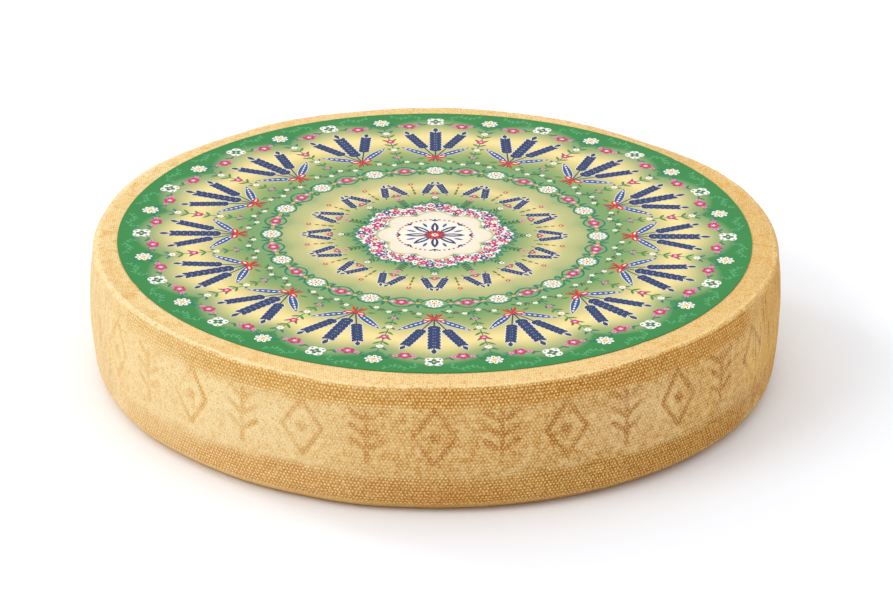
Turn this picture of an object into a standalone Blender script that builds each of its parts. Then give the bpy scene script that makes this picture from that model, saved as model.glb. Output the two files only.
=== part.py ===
"""A whole wheel of hard mountain cheese lying flat, with a round paper label on its upper face.

The wheel is one solid turned about +Z. Its side swells a little like a barrel, its upper edge turns
over in a tight bend and its foot in a wide, soft one. A wheel that is pressed and turned by hand is
never quite round, so named swells and hollows move the upper edge and the foot by a millimetre or
two, and a low lip of rind stands along parts of the upper edge. The label is a thin disc of its own
that lies on the flat upper face, a little off its middle.

Metres, +Z up, origin at the middle of the face that the wheel lies on.
"""

import math

import bmesh
import bpy
from mathutils import Vector

# Driving sizes of the wheel
WHEEL_RADIUS = 0.290  # at the belly, the widest part of the side
WHEEL_HEIGHT = 0.1128  # from the resting face to the flat upper face
BELLY_HEIGHT = 0.067  # height of the widest part
SIDE_INSET = 0.0028  # how far the side has drawn in where the edge and the foot begin
EDGE_WIDTH = 0.0177  # upper edge, measured inwards from the side
EDGE_DROP = 0.0081  # upper edge, measured down from the upper face
EDGE_SQUARENESS = 4.4  # 2 would turn the upper edge over in a plain arc
FOOT_ROUNDING = 0.0186  # radius of the soft bend at the foot

# Driving sizes of the label
LABEL_RADIUS = 0.2657
LABEL_THICKNESS = 0.0004
LABEL_SHIFT = Vector((-0.0008, 0.0039))  # it was laid by hand, slightly towards the back
LABEL_GAP = 0.0003  # the paste under it

# How finely the round shapes are divided
SEGMENTS = 120
EDGE_STEPS = 8
SIDE_STEPS = 9
FOOT_STEPS = 6

# Unevenness of the upper edge: bearing and half width in degrees, then outwards and upwards in metres
EDGE_SWELLS = (
    (-134, 12, -0.0010, 0.0002),
    (-104, 13, 0.0018, -0.0011),
    (-52, 14, -0.0014, 0.0007),
    (-14, 13, 0.0012, 0.0003),
    (50, 22, -0.0020, -0.0015),
    (117, 15, 0.0012, 0.0009),
    (152, 20, 0.0012, 0.0009),
)
# Unevenness of the foot: bearing and half width in degrees, then outwards in metres
FOOT_SWELLS = (
    (-168, 24, -0.0009),
    (-135, 14, -0.0014),
    (-103, 10, 0.0014),
    (-30, 22, 0.0008),
    (35, 20, -0.0010),
    (95, 18, 0.0011),
)
# Lip of rind on the upper edge: bearing and half width in degrees, then height in metres
LIP_STRETCHES = (
    (-143, 24, 0.0011),
    (-28, 20, 0.0009),
    (28, 14, 0.0006),
    (92, 20, 0.0008),
)
LIP_RADIUS = 0.2838
LIP_HALF_WIDTH = 0.0042

# Colour (linear RGB) and roughness of each material
RIND_COLOUR = (0.72, 0.47, 0.20)
RIND_ROUGHNESS = 0.62
PAPER_COLOUR = (0.36, 0.47, 0.19)
PAPER_ROUGHNESS = 0.42


def clear_scene():
    for thing in list(bpy.data.objects):
        bpy.data.objects.remove(thing, do_unlink=True)


def smooth_share(value, start, end):
    """0 before start and 1 past end, with a soft turn between."""
    share = min(1.0, max(0.0, (value - start) / (end - start)))
    return share * share * (3.0 - 2.0 * share)


def hump(offset, half_width):
    """1 at no offset, falling softly to 0 at half_width on either side."""
    if abs(offset) >= half_width:
        return 0.0
    return 0.5 + 0.5 * math.cos(math.pi * offset / half_width)


def bearing_hump(bearing, centre, half_width):
    """A hump along the rim, all three in degrees, that runs on across 180."""
    offset = (bearing - centre + 180.0) % 360.0 - 180.0
    return hump(offset, half_width)


def wheel_outline():
    """Half the wheel's cross section as (radius, height), from the upper face down to the foot."""
    side_end = WHEEL_RADIUS - SIDE_INSET
    edge_start = side_end - EDGE_WIDTH
    edge_end_height = WHEEL_HEIGHT - EDGE_DROP
    power = 2.0 / EDGE_SQUARENESS
    points = []
    for step in range(EDGE_STEPS + 1):
        turn = 0.5 * math.pi * step / EDGE_STEPS
        radius = edge_start + EDGE_WIDTH * math.sin(turn) ** power
        height = edge_end_height + EDGE_DROP * max(0.0, math.cos(turn)) ** power
        points.append((radius, height))
    for step in range(1, SIDE_STEPS):
        height = edge_end_height + (FOOT_ROUNDING - edge_end_height) * step / SIDE_STEPS
        end = edge_end_height if height > BELLY_HEIGHT else FOOT_ROUNDING
        drawn_in = SIDE_INSET * ((height - BELLY_HEIGHT) / (end - BELLY_HEIGHT)) ** 2
        points.append((WHEEL_RADIUS - drawn_in, height))
    for step in range(FOOT_STEPS + 1):
        turn = 0.5 * math.pi * step / FOOT_STEPS
        radius = side_end - FOOT_ROUNDING * (1.0 - math.cos(turn))
        points.append((radius, FOOT_ROUNDING * (1.0 - math.sin(turn))))
    return points


def make_uneven(point):
    """Where a point of the evenly turned wheel lies on the hand-made one."""
    radius = math.hypot(point.x, point.y)
    bearing = math.degrees(math.atan2(point.y, point.x))
    flat_radius = WHEEL_RADIUS - SIDE_INSET - EDGE_WIDTH
    near_edge = smooth_share(point.z, 0.55 * WHEEL_HEIGHT, 0.95 * WHEEL_HEIGHT)
    off_flat = smooth_share(radius, flat_radius, LIP_RADIUS)
    near_foot = 1.0 - smooth_share(point.z, 0.05 * WHEEL_HEIGHT, 0.55 * WHEEL_HEIGHT)
    outwards = 0.0
    upwards = 0.0
    for centre, half_width, out, up in EDGE_SWELLS:
        share = bearing_hump(bearing, centre, half_width) * near_edge * off_flat
        outwards += out * share
        upwards += up * share
    for centre, half_width, out in FOOT_SWELLS:
        outwards += out * bearing_hump(bearing, centre, half_width) * near_foot
    on_lip = hump(radius - LIP_RADIUS, LIP_HALF_WIDTH) * near_edge
    for centre, half_width, height in LIP_STRETCHES:
        upwards += height * bearing_hump(bearing, centre, half_width) * on_lip
    scale = (radius + outwards) / radius
    return Vector((point.x * scale, point.y * scale, point.z + upwards))


def plain_material(name, colour, roughness):
    material = bpy.data.materials.new(name)
    material.use_nodes = True
    shader = material.node_tree.nodes["Principled BSDF"]
    shader.inputs["Base Color"].default_value = (*colour, 1.0)
    shader.inputs["Roughness"].default_value = roughness
    shader.inputs["Metallic"].default_value = 0.0
    return material


def add_object(name, shape, material):
    """Closes the bmesh's normals outwards and puts it in the scene as a smooth-shaded object."""
    bmesh.ops.recalc_face_normals(shape, faces=shape.faces)
    mesh = bpy.data.meshes.new(name)
    shape.to_mesh(mesh)
    shape.free()
    mesh.materials.append(material)
    mesh.shade_smooth()
    mesh.set_sharp_from_angle(angle=math.radians(40.0))
    thing = bpy.data.objects.new(name, mesh)
    bpy.context.scene.collection.objects.link(thing)
    return thing


def build_wheel():
    """Turns the outline about the axis, closes both flat faces and works the rim uneven."""
    shape = bmesh.new()
    corners = [shape.verts.new((radius, 0.0, height)) for radius, height in wheel_outline()]
    edges = [shape.edges.new(pair) for pair in zip(corners, corners[1:])]
    bmesh.ops.spin(
        shape,
        geom=corners + edges,
        axis=(0.0, 0.0, 1.0),
        cent=(0.0, 0.0, 0.0),
        steps=SEGMENTS,
        angle=2.0 * math.pi,
        use_merge=True,
    )
    open_edges = [edge for edge in shape.edges if edge.is_boundary]
    bmesh.ops.holes_fill(shape, edges=open_edges, sides=0)
    for vert in shape.verts:
        vert.co = make_uneven(vert.co)
    rind = plain_material("rind", RIND_COLOUR, RIND_ROUGHNESS)
    return add_object("wheel", shape, rind)


def build_label():
    """A thin round disc on the upper face, with a sharp cut edge."""
    shape = bmesh.new()
    bmesh.ops.create_cone(
        shape,
        cap_ends=True,
        cap_tris=False,
        segments=SEGMENTS,
        radius1=LABEL_RADIUS,
        radius2=LABEL_RADIUS,
        depth=LABEL_THICKNESS,
    )
    middle = WHEEL_HEIGHT + LABEL_GAP + 0.5 * LABEL_THICKNESS
    place = Vector((LABEL_SHIFT.x, LABEL_SHIFT.y, middle))
    bmesh.ops.translate(shape, verts=shape.verts, vec=place)
    paper = plain_material("paper", PAPER_COLOUR, PAPER_ROUGHNESS)
    return add_object("label", shape, paper)


def main():
    clear_scene()
    build_wheel()
    build_label()


main()
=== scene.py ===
# %% [markdown]
# # A whole wheel of mountain cheese, with a printed paper label on top
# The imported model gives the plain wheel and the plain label, in metres, with +Z up and the resting
# face at height 0. This lesson dresses both: the rind with its rows of pressed beads, the frieze that
# the hoop left in the side, the worn stretches, and the paper with its printed garlands.
# Bearings are degrees round +Z. Bearing -90 is the front, where the camera stands.

import math

import bmesh
import bpy
import numpy as np
from mathutils import Matrix, Vector, noise


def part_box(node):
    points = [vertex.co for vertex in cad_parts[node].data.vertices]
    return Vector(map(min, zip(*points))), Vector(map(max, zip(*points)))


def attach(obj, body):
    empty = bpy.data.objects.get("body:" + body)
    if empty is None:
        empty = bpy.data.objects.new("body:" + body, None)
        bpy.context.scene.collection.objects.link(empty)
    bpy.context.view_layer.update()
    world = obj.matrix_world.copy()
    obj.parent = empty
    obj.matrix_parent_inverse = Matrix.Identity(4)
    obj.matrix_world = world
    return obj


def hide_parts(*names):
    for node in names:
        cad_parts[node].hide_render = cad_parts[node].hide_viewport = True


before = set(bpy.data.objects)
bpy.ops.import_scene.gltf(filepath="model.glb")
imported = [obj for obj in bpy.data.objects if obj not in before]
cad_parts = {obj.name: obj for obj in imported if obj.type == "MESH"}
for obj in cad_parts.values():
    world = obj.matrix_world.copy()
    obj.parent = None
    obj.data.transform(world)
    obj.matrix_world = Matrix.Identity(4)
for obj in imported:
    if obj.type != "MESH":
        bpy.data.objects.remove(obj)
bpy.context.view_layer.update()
label_low, label_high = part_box("label")
print("label", label_low, label_high)

# %% [markdown]
# ## Small helpers
# Some things come up again and again: softened steps and humps along a line, smooth noise that is the
# same at each run, meshes with numbers on their points, and nodes wired to one another. Each gets a
# short helper, so that the cells further down say only what they make.

# %% Steps, humps and noise
MM = 0.001


def smooth_share(value, start, end):
    """0 before start and 1 past end, with a soft turn between."""
    share = np.clip((value - start) / (end - start), 0.0, 1.0)
    return share * share * (3.0 - 2.0 * share)


def hump(offset, half_width):
    """1 at no offset, falling softly to 0 at half_width on either side."""
    inside = np.abs(offset) < half_width
    return np.where(inside, 0.5 + 0.5 * np.cos(np.pi * offset / half_width), 0.0)


def turn_from(centre, bearing):
    """The shorter turn from one bearing to another, -180 to 180 degrees."""
    return (bearing - centre + 180.0) % 360.0 - 180.0


def bearing_hump(bearing, centre, half_width):
    """A hump round the wheel, all three in degrees, that runs on across 180."""
    return hump(turn_from(centre, bearing), half_width)


def on_stretches(bearing, stretches, start=0.0):
    """A number that rises round the wheel in stretches, each (centre, half width, amount)."""
    total = start
    for centre, half_width, amount in stretches:
        total = total + amount * bearing_hump(bearing, centre, half_width)
    return total


def smooth_noise(points, size, seed):
    """Noise from about -1 to 1 whose lumps are about as wide as size."""
    offset = Vector((seed * 7.31, seed * 3.17, seed * 5.77))
    return np.array([noise.noise(Vector(point) / size + offset) for point in points]) * 1.6


def round_axis(places):
    """The bearing in degrees and the distance from the axis of some places."""
    return np.degrees(np.arctan2(places[:, 1], places[:, 0])), np.hypot(places[:, 0], places[:, 1])


# %% Pieces and numbers on their points
def add_piece(name, mesh):
    thing = bpy.data.objects.new(name, mesh)
    bpy.context.scene.collection.objects.link(thing)
    return thing


def read_value(mesh, name):
    values = np.zeros(len(mesh.vertices))
    mesh.attributes[name].data.foreach_get("value", values)
    return values


def write_values(mesh, **layers):
    """Stores a number for every point, under each name that is given."""
    for name, values in layers.items():
        layer = mesh.attributes.get(name) or mesh.attributes.new(name, "FLOAT", "POINT")
        layer.data.foreach_set("value", np.asarray(values, dtype=np.float32))


def write_vectors(mesh, **layers):
    for name, values in layers.items():
        layer = mesh.attributes.new(name, "FLOAT_VECTOR", "POINT")
        layer.data.foreach_set("vector", values.astype(np.float32).ravel())


def read_places(mesh):
    """The x, y, z of every point of a mesh."""
    places = np.zeros(len(mesh.vertices) * 3)
    mesh.vertices.foreach_get("co", places)
    return places.reshape(-1, 3)


def write_places(mesh, places):
    mesh.vertices.foreach_set("co", places.astype(np.float32).ravel())
    mesh.update()


def outline_mesh(name, points, along):
    """A line of (radius, height) points in the XZ plane, each with its distance along the line."""
    mesh = bpy.data.meshes.new(name)
    steps = [(i, i + 1) for i in range(len(points) - 1)]
    mesh.from_pydata([(float(radius), 0.0, float(height)) for radius, height in points], steps, [])
    write_values(mesh, along=along)
    return mesh


def settle(thing):
    """Turns what the modifiers make into the object's own plain mesh and removes them."""
    bpy.context.view_layer.update()
    depsgraph = bpy.context.evaluated_depsgraph_get()
    made = bpy.data.meshes.new_from_object(thing.evaluated_get(depsgraph))
    drawn = thing.data
    thing.modifiers.clear()
    thing.data = made
    bpy.data.meshes.remove(drawn)
    made.name = thing.name
    triangles = sum(len(face.vertices) - 2 for face in made.polygons)
    print(thing.name, len(made.vertices), "vertices", triangles, "triangles")


# %% [markdown]
# ## Signals and nodes
# A node tree is easier to write as sums than as boxes and wires. A Signal stands for one output of a
# node, and adding, subtracting, multiplying or dividing signals places the Math nodes that do it. So
# the recipe of a colour reads like a formula, and the tree in the editor is the same as one wired by
# hand.

# %% Signals
class Signal:
    """One output of a node. What is reckoned with it becomes Math nodes in the same tree."""

    def __init__(self, socket):
        self.socket = socket
        self.tree = socket.id_data

    def math(self, operation, *others):
        return calc(self.tree, operation, self, *others)

    def __add__(self, other):
        return self.math("ADD", other)

    def __sub__(self, other):
        return self.math("SUBTRACT", other)

    def __mul__(self, other):
        return self.math("MULTIPLY", other)

    def __truediv__(self, other):
        return self.math("DIVIDE", other)

    def __rsub__(self, other):
        return calc(self.tree, "SUBTRACT", other, self)

    def __rtruediv__(self, other):
        return calc(self.tree, "DIVIDE", other, self)


def calc(tree, operation, *values):
    return signal(tree, "ShaderNodeMath", {"operation": operation}, dict(enumerate(values)))


def give(node, inputs):
    """Sets inputs of a node, each to a plain value or to the signal that feeds it."""
    for name, value in inputs.items():
        if isinstance(value, Signal):
            value.tree.links.new(value.socket, node.inputs[name])
        else:
            node.inputs[name].default_value = value


def place(tree, kind, settings=None, inputs=None):
    """Adds a node with its settings and its inputs."""
    node = tree.nodes.new(kind)
    for name, value in (settings or {}).items():
        setattr(node, name, value)
    give(node, inputs or {})
    return node


def signal(tree, kind, settings=None, inputs=None, output=0):
    """One output of a node that is added for it."""
    return Signal(place(tree, kind, settings, inputs).outputs[output])


def by_name(sockets):
    return {socket.name: Signal(socket) for socket in sockets if socket.name}


def parts_of(vector):
    """The x, y and z of a vector."""
    return by_name(place(vector.tree, "ShaderNodeSeparateXYZ", None, {0: vector}).outputs).values()


def vector_of(tree, x=0.0, y=0.0, z=0.0):
    return signal(tree, "ShaderNodeCombineXYZ", None, {"X": x, "Y": y, "Z": z})


# %% Node groups and Geometry Nodes trees
def new_tree(name, kind, inputs, outputs):
    """An empty node group with sockets of (name, type, value), and its inputs as signals."""
    tree = bpy.data.node_groups.new(name, kind)
    for side, sockets in (("INPUT", inputs), ("OUTPUT", outputs)):
        for label, kind_of_socket, *value in sockets:
            socket_type = "NodeSocket" + kind_of_socket
            socket = tree.interface.new_socket(name=label, in_out=side, socket_type=socket_type)
            if value:
                socket.default_value = value[0]
    return tree, by_name(tree.nodes.new("NodeGroupInput").outputs)


def put_out(tree, results):
    """Wires the outputs of a node group, which ends it."""
    give(tree.nodes.new("NodeGroupOutput"), results)
    print(tree.name, len(tree.nodes), "nodes")


def geometry_tree(name, *sizes):
    """A tree that takes a geometry, some sizes and a material."""
    inputs = (("Geometry", "Geometry"), *sizes, ("Material", "Material"))
    return new_tree(name, "GeometryNodeTree", inputs, (("Geometry", "Geometry"),))


def end_tree(tree, shape, material, smooth=True):
    """Makes real faces of a tree's copies, shades them smooth and gives them their material."""
    shape = signal(tree, "GeometryNodeRealizeInstances", None, {0: shape})
    if smooth:
        shape = signal(tree, "GeometryNodeSetShadeSmooth", None, {0: shape})
    inputs = {"Geometry": shape, "Material": material}
    put_out(tree, {0: signal(tree, "GeometryNodeSetMaterial", None, inputs)})


def noted(tree, name, data_type):
    """What the script wrote on the points under a name."""
    settings = {"data_type": data_type}
    return signal(tree, "GeometryNodeInputNamedAttribute", settings, {"Name": name}, "Attribute")


def store(shape, name, values):
    """A shape whose points carry one more number."""
    settings = {"data_type": "FLOAT", "domain": "POINT"}
    inputs = {"Geometry": shape, "Name": name, "Value": values}
    return signal(shape.tree, "GeometryNodeStoreNamedAttribute", settings, inputs)


def move(shape, places):
    inputs = {"Geometry": shape, "Position": places}
    return signal(shape.tree, "GeometryNodeSetPosition", None, inputs)


def add_tree(thing, tree, values):
    """Puts a Geometry Nodes tree on an object, with its inputs set by their identifiers."""
    modifier = thing.modifiers.new(tree.name, "NODES")
    modifier.node_group = tree
    for item in tree.interface.items_tree:
        if item.item_type == "SOCKET" and item.in_out == "INPUT" and item.name in values:
            modifier[item.identifier] = values[item.name]


# %% [markdown]
# ## The outline of the wheel
# A pressed wheel is a turned shape: half its cross section, run round the axis, gives the whole.
# The outline goes from the axis out over the upper face, round the tight upper edge, down the slightly
# swelling side, round the soft foot and back in underneath. Every place on the rind is then two
# numbers, a bearing and a distance along the outline, counted from the crest of the upper edge,
# downwards as plus. Rows of beads, worn stretches and the frieze are all laid out in those two numbers.

# %% Driving sizes
WHEEL_RADIUS = 0.290
WHEEL_HEIGHT = 0.1128
BELLY_HEIGHT = 0.067
SIDE_INSET = 0.0028
EDGE_WIDTH = 0.0177
EDGE_DROP = 0.0081
EDGE_SQUARENESS = 4.4
FOOT_ROUNDING = 0.0186
CREST_RADIUS = 0.2848
SIDE_END = WHEEL_RADIUS - SIDE_INSET
EDGE_START = SIDE_END - EDGE_WIDTH
EDGE_END_HEIGHT = WHEEL_HEIGHT - EDGE_DROP
FINE_STEPS = 400


def side_radius(height):
    """The swelling side: widest at the belly, drawn in towards the edge and the foot."""
    end = np.where(height > BELLY_HEIGHT, EDGE_END_HEIGHT, FOOT_ROUNDING)
    return WHEEL_RADIUS - SIDE_INSET * ((height - BELLY_HEIGHT) / (end - BELLY_HEIGHT)) ** 2


def fine_outline():
    """Close points (radius, height), from the axis over the top to the axis below."""
    power = 2.0 / EDGE_SQUARENESS
    turn = np.linspace(0.0, 0.5 * np.pi, FINE_STEPS)
    edge_radius = EDGE_START + EDGE_WIDTH * np.sin(turn) ** power
    edge_height = EDGE_END_HEIGHT + EDGE_DROP * np.clip(np.cos(turn), 0.0, 1.0) ** power
    height = np.linspace(EDGE_END_HEIGHT, FOOT_ROUNDING, FINE_STEPS)[1:-1]
    foot_radius = SIDE_END - FOOT_ROUNDING * (1.0 - np.cos(turn))
    foot_height = FOOT_ROUNDING * (1.0 - np.sin(turn))
    radius = np.concatenate([[0.0], edge_radius, side_radius(height), foot_radius, [0.0]])
    level = np.concatenate([[WHEEL_HEIGHT], edge_height, height, foot_height, [0.0]])
    return np.stack([radius, level], axis=1)


OUTLINE = fine_outline()
LENGTHS = np.concatenate([[0.0], np.cumsum(np.hypot(*np.diff(OUTLINE, axis=0).T))])
ON_EDGE = slice(1, FINE_STEPS + 1)
LENGTHS = LENGTHS - LENGTHS[ON_EDGE][np.argmin(np.abs(OUTLINE[ON_EDGE, 0] - CREST_RADIUS))]
SLOPES = np.gradient(OUTLINE, LENGTHS + np.arange(len(LENGTHS)) * 1e-12, axis=0)
TOP_END = float(LENGTHS[0])
ON_SIDE = slice(FINE_STEPS + 1, 2 * FINE_STEPS + 1)
FOOT_START = float(np.interp(-FOOT_ROUNDING, -OUTLINE[ON_SIDE, 1], LENGTHS[ON_SIDE]))
FOOT_END = float(LENGTHS[-2])
UNDER_END = float(LENGTHS[-1])
print("crest to foot bend", round(FOOT_START, 4), "to the resting face", round(FOOT_END, 4))

# %% [markdown]
# ## Unevenness of a hand-made wheel
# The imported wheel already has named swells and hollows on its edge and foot, and a lip of rind along
# parts of the crest. The dressed rind repeats them from the same numbers, so that it stays on the
# solid. A swell is (centre, half width, outwards, upwards), the first two in degrees.

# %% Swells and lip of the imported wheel
EDGE_SWELLS = (
    (-134, 12, -0.0010, 0.0002),
    (-104, 13, 0.0018, -0.0011),
    (-52, 14, -0.0014, 0.0007),
    (-14, 13, 0.0012, 0.0003),
    (50, 22, -0.0020, -0.0015),
    (117, 15, 0.0012, 0.0009),
    (152, 20, 0.0012, 0.0009),
)
FOOT_SWELLS = (
    (-168, 24, -0.0009),
    (-135, 14, -0.0014),
    (-103, 10, 0.0014),
    (-30, 22, 0.0008),
    (35, 20, -0.0010),
    (95, 18, 0.0011),
)
LIP_STRETCHES = ((-143, 24, 0.0011), (-28, 20, 0.0009), (28, 14, 0.0006), (92, 20, 0.0008))
LIP_RADIUS = 0.2838
LIP_HALF_WIDTH = 0.0042
FOOT_REACH = 0.2


def make_uneven(bearing, radius, height):
    """The radius and height of places on the evenly turned wheel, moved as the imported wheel's are."""
    near_edge = smooth_share(height, 0.55 * WHEEL_HEIGHT, 0.95 * WHEEL_HEIGHT)
    off_flat = smooth_share(radius, EDGE_START, LIP_RADIUS)
    near_foot = 1.0 - smooth_share(height, 0.05 * WHEEL_HEIGHT, 0.55 * WHEEL_HEIGHT)
    outwards = on_stretches(bearing, FOOT_SWELLS) * near_foot * (radius > FOOT_REACH)
    upwards = on_stretches(bearing, LIP_STRETCHES) * near_edge * hump(radius - LIP_RADIUS, LIP_HALF_WIDTH)
    for centre, half_width, out, up in EDGE_SWELLS:
        share = bearing_hump(bearing, centre, half_width) * near_edge * off_flat
        outwards += out * share
        upwards += up * share
    return radius + outwards, height + upwards


def turned_places(bearing, along):
    """Places on the uneven wheel and the way out of it, as arrays of x, y, z."""
    angle = np.radians(bearing)
    radius = np.interp(along, LENGTHS, OUTLINE[:, 0])
    height = np.interp(along, LENGTHS, OUTLINE[:, 1])
    out = -np.interp(along, LENGTHS, SLOPES[:, 1])
    up = np.interp(along, LENGTHS, SLOPES[:, 0])
    size = np.maximum(np.hypot(out, up), 1e-9)
    radius, height = make_uneven(bearing, radius, height)
    places = np.stack([radius * np.cos(angle), radius * np.sin(angle), height], axis=1)
    facing = np.stack([out * np.cos(angle), out * np.sin(angle), up], axis=1) / size[:, None]
    return places, facing


# %% [markdown]
# ## Where the rind is worn
# Towards the left and the right of the front, and in places at the back, the rind is rubbed smooth and
# has lost its beads. Such a stretch has no straight border, so noise shifts it by a few degrees. It
# could be painted on as a mask by hand. A short list of stretches is easier to move, and the rind and
# the beads read the same list, so they always agree.

# %% Worn stretches
WORN_STRETCHES = (
    (-176, 25, 1.0),
    (-149, 15, 0.25),
    (-2, 25, 1.0),
    (41, 13, 0.45),
    (118, 14, 0.6),
)
WORN_END = (FOOT_START + 10.0 * MM, FOOT_START + 22.0 * MM)


def worn_share(bearing, along, places):
    """0 where the beads are whole, 1 where the rind is rubbed smooth."""
    worn = np.zeros_like(along)
    ragged = smooth_noise(places, 0.030, 3) * 5.0 + smooth_noise(places, 0.009, 4) * 2.0
    for centre, half_width, share in WORN_STRETCHES:
        off = np.abs(turn_from(centre, bearing)) + ragged
        worn = np.maximum(worn, share * (1.0 - smooth_share(off, half_width - 8.0, half_width + 5.0)))
    return worn * (1.0 - smooth_share(along, *WORN_END))


# %% [markdown]
# ## The pressed frieze
# The hoop also presses a frieze into the middle of the side. Here it is a traditional one: tall
# lozenges with a boss in the middle, alternating with upright ears of grain. Each line of the frieze
# is known by its distance: a place is inside a line when it is nearer to it than half its width.
# Such distances cost nothing to compute for the whole side at once. The hoop pressed unevenly, and
# faintly towards the left, so noise and one soft stretch weaken the lines.

# %% Distances to the lines of the frieze
FRIEZE_COUNT = 34
FRIEZE_MIDDLE = 42.5 * MM
FRIEZE_HALF_HEIGHT = 26.0 * MM
LINE_HALF_WIDTH = 2.1 * MM
LINE_SOFTNESS = 0.7 * MM
LINE_END = FRIEZE_HALF_HEIGHT - LINE_HALF_WIDTH
LOZENGE_HALF_WIDTH = 17.0 * MM
BOSS_RADIUS = 4.8 * MM
GRAIN_PAIRS = 3
GRAIN_ROOTS = (0.22, 0.27)
GRAIN_REACH = 13.0 * MM
GRAIN_RISE = 9.0 * MM
FAINT_FRIEZE = ((-126.0, 42.0, -0.30),)
WORN_AWAY = 0.65


def to_segment(across, up, start, end):
    """Distance from places to a straight line between two points, with across and up in metres."""
    run = (end[0] - start[0], end[1] - start[1])
    share = ((across - start[0]) * run[0] + (up - start[1]) * run[1]) / (run[0] ** 2 + run[1] ** 2)
    share = np.clip(share, 0.0, 1.0)
    return np.hypot(across - start[0] - share * run[0], up - start[1] - share * run[1])


def to_lozenge(across, up):
    rim = to_segment(abs(across), abs(up), (LOZENGE_HALF_WIDTH, 0.0), (0.0, LINE_END))
    boss = np.hypot(across, up) - BOSS_RADIUS + LINE_HALF_WIDTH
    return np.minimum(rim, boss)


def to_ear(across, up):
    nearest = to_segment(across, up, (0.0, -LINE_END), (0.0, LINE_END - GRAIN_RISE * 0.4))
    for pair in range(GRAIN_PAIRS):
        root = LINE_END * (2.0 * (GRAIN_ROOTS[0] + GRAIN_ROOTS[1] * pair) - 1.0)
        grain = to_segment(abs(across), up, (0.0, root), (GRAIN_REACH, root + GRAIN_RISE))
        nearest = np.minimum(nearest, grain)
    return nearest


def frieze_share(bearing, along, places, worn):
    """1 inside the lines of the frieze, 0 away from them."""
    step = 360.0 / FRIEZE_COUNT
    number = np.floor((bearing + 180.0) / step)
    middle = (number + 0.5) * step - 180.0
    across = np.radians(bearing - middle) * WHEEL_RADIUS
    up = FRIEZE_MIDDLE - along
    nearest = np.where(number % 2 == 0, to_lozenge(across, up), to_ear(across, up))
    nearest += smooth_noise(places, 0.007, 8) * 0.35 * MM
    inside = 1.0 - smooth_share(nearest, LINE_HALF_WIDTH - LINE_SOFTNESS, LINE_HALF_WIDTH + LINE_SOFTNESS)
    pressed = on_stretches(bearing, FAINT_FRIEZE, 0.92) + 0.38 * smooth_noise(places, 0.018, 9)
    return inside * np.clip(pressed, 0.30, 1.0) * (1.0 - WORN_AWAY * worn)


# %% [markdown]
# ## How deep the beads are pressed
# A band of beads below the crest and another above the foot are pressed deep. Their borders fade out,
# more softly at the left. Between the two the beads are faint and uneven, fainter still in a few
# stretches, and inside the lines of the frieze they stand out again.

# %% Depth of the beads
TOP_BAND_START = (-2.0 * MM, 0.8 * MM)
TOP_BAND_END = 20.1 * MM
TOP_BAND_FADES = 6.5 * MM
FOOT_BAND_START = 76.5 * MM
FOOT_BAND_FADES = 6.0 * MM
FOOT_BAND_END = (103.0 * MM, 105.5 * MM)
SIDE_START = (-1.0 * MM, 1.0 * MM)
SIDE_FINISH = (104.5 * MM, 106.5 * MM)
SOFT_BORDERS = ((-136.0, 50.0, 4.5 * MM),)
MIDDLE_DEPTH = 0.60
MIDDLE_VARIES = 0.30
FAINT_STRETCHES = ((-130.0, 38.0, 0.70), (-54.0, 11.0, 0.12), (18.0, 34.0, 0.5), (152.0, 34.0, 0.7))


def bead_depth(bearing, along, places, worn, frieze):
    """How deep the beads are pressed: 1 in the bands and the frieze, less between, 0 where worn."""
    fading = along + smooth_noise(places, 0.016, 5) * 1.8 * MM + smooth_noise(places, 0.055, 20) * 2.6 * MM
    rising = along + smooth_noise(places, 0.034, 14) * 1.5 * MM + smooth_noise(places, 0.006, 15) * 0.6 * MM
    fades = on_stretches(bearing, SOFT_BORDERS, TOP_BAND_FADES)
    top = smooth_share(rising, *TOP_BAND_START)
    top *= 1.0 - smooth_share(fading, TOP_BAND_END - fades, TOP_BAND_END + fades)
    fades = on_stretches(bearing, SOFT_BORDERS, FOOT_BAND_FADES)
    foot = smooth_share(fading, FOOT_BAND_START - fades, FOOT_BAND_START + fades)
    foot *= 1.0 - smooth_share(along, *FOOT_BAND_END)
    bands = np.maximum(top, foot) * (0.93 + 0.12 * smooth_noise(places, 0.020, 13))
    uneven = 0.25 * smooth_noise(places, 0.013, 10) + 0.8 * smooth_noise(places, 0.0042, 11)
    middle = MIDDLE_DEPTH + MIDDLE_VARIES * uneven
    for centre, half_width, share in FAINT_STRETCHES:
        middle = middle * (1.0 - share * bearing_hump(bearing, centre, half_width))
    on_side = smooth_share(along, *SIDE_START) * (1.0 - smooth_share(along, *SIDE_FINISH))
    depth = np.maximum(np.maximum(bands, np.clip(middle, 0.08, 0.8) * on_side), frieze)
    return np.clip(depth, 0.0, 1.0) * (1.0 - worn)
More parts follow.
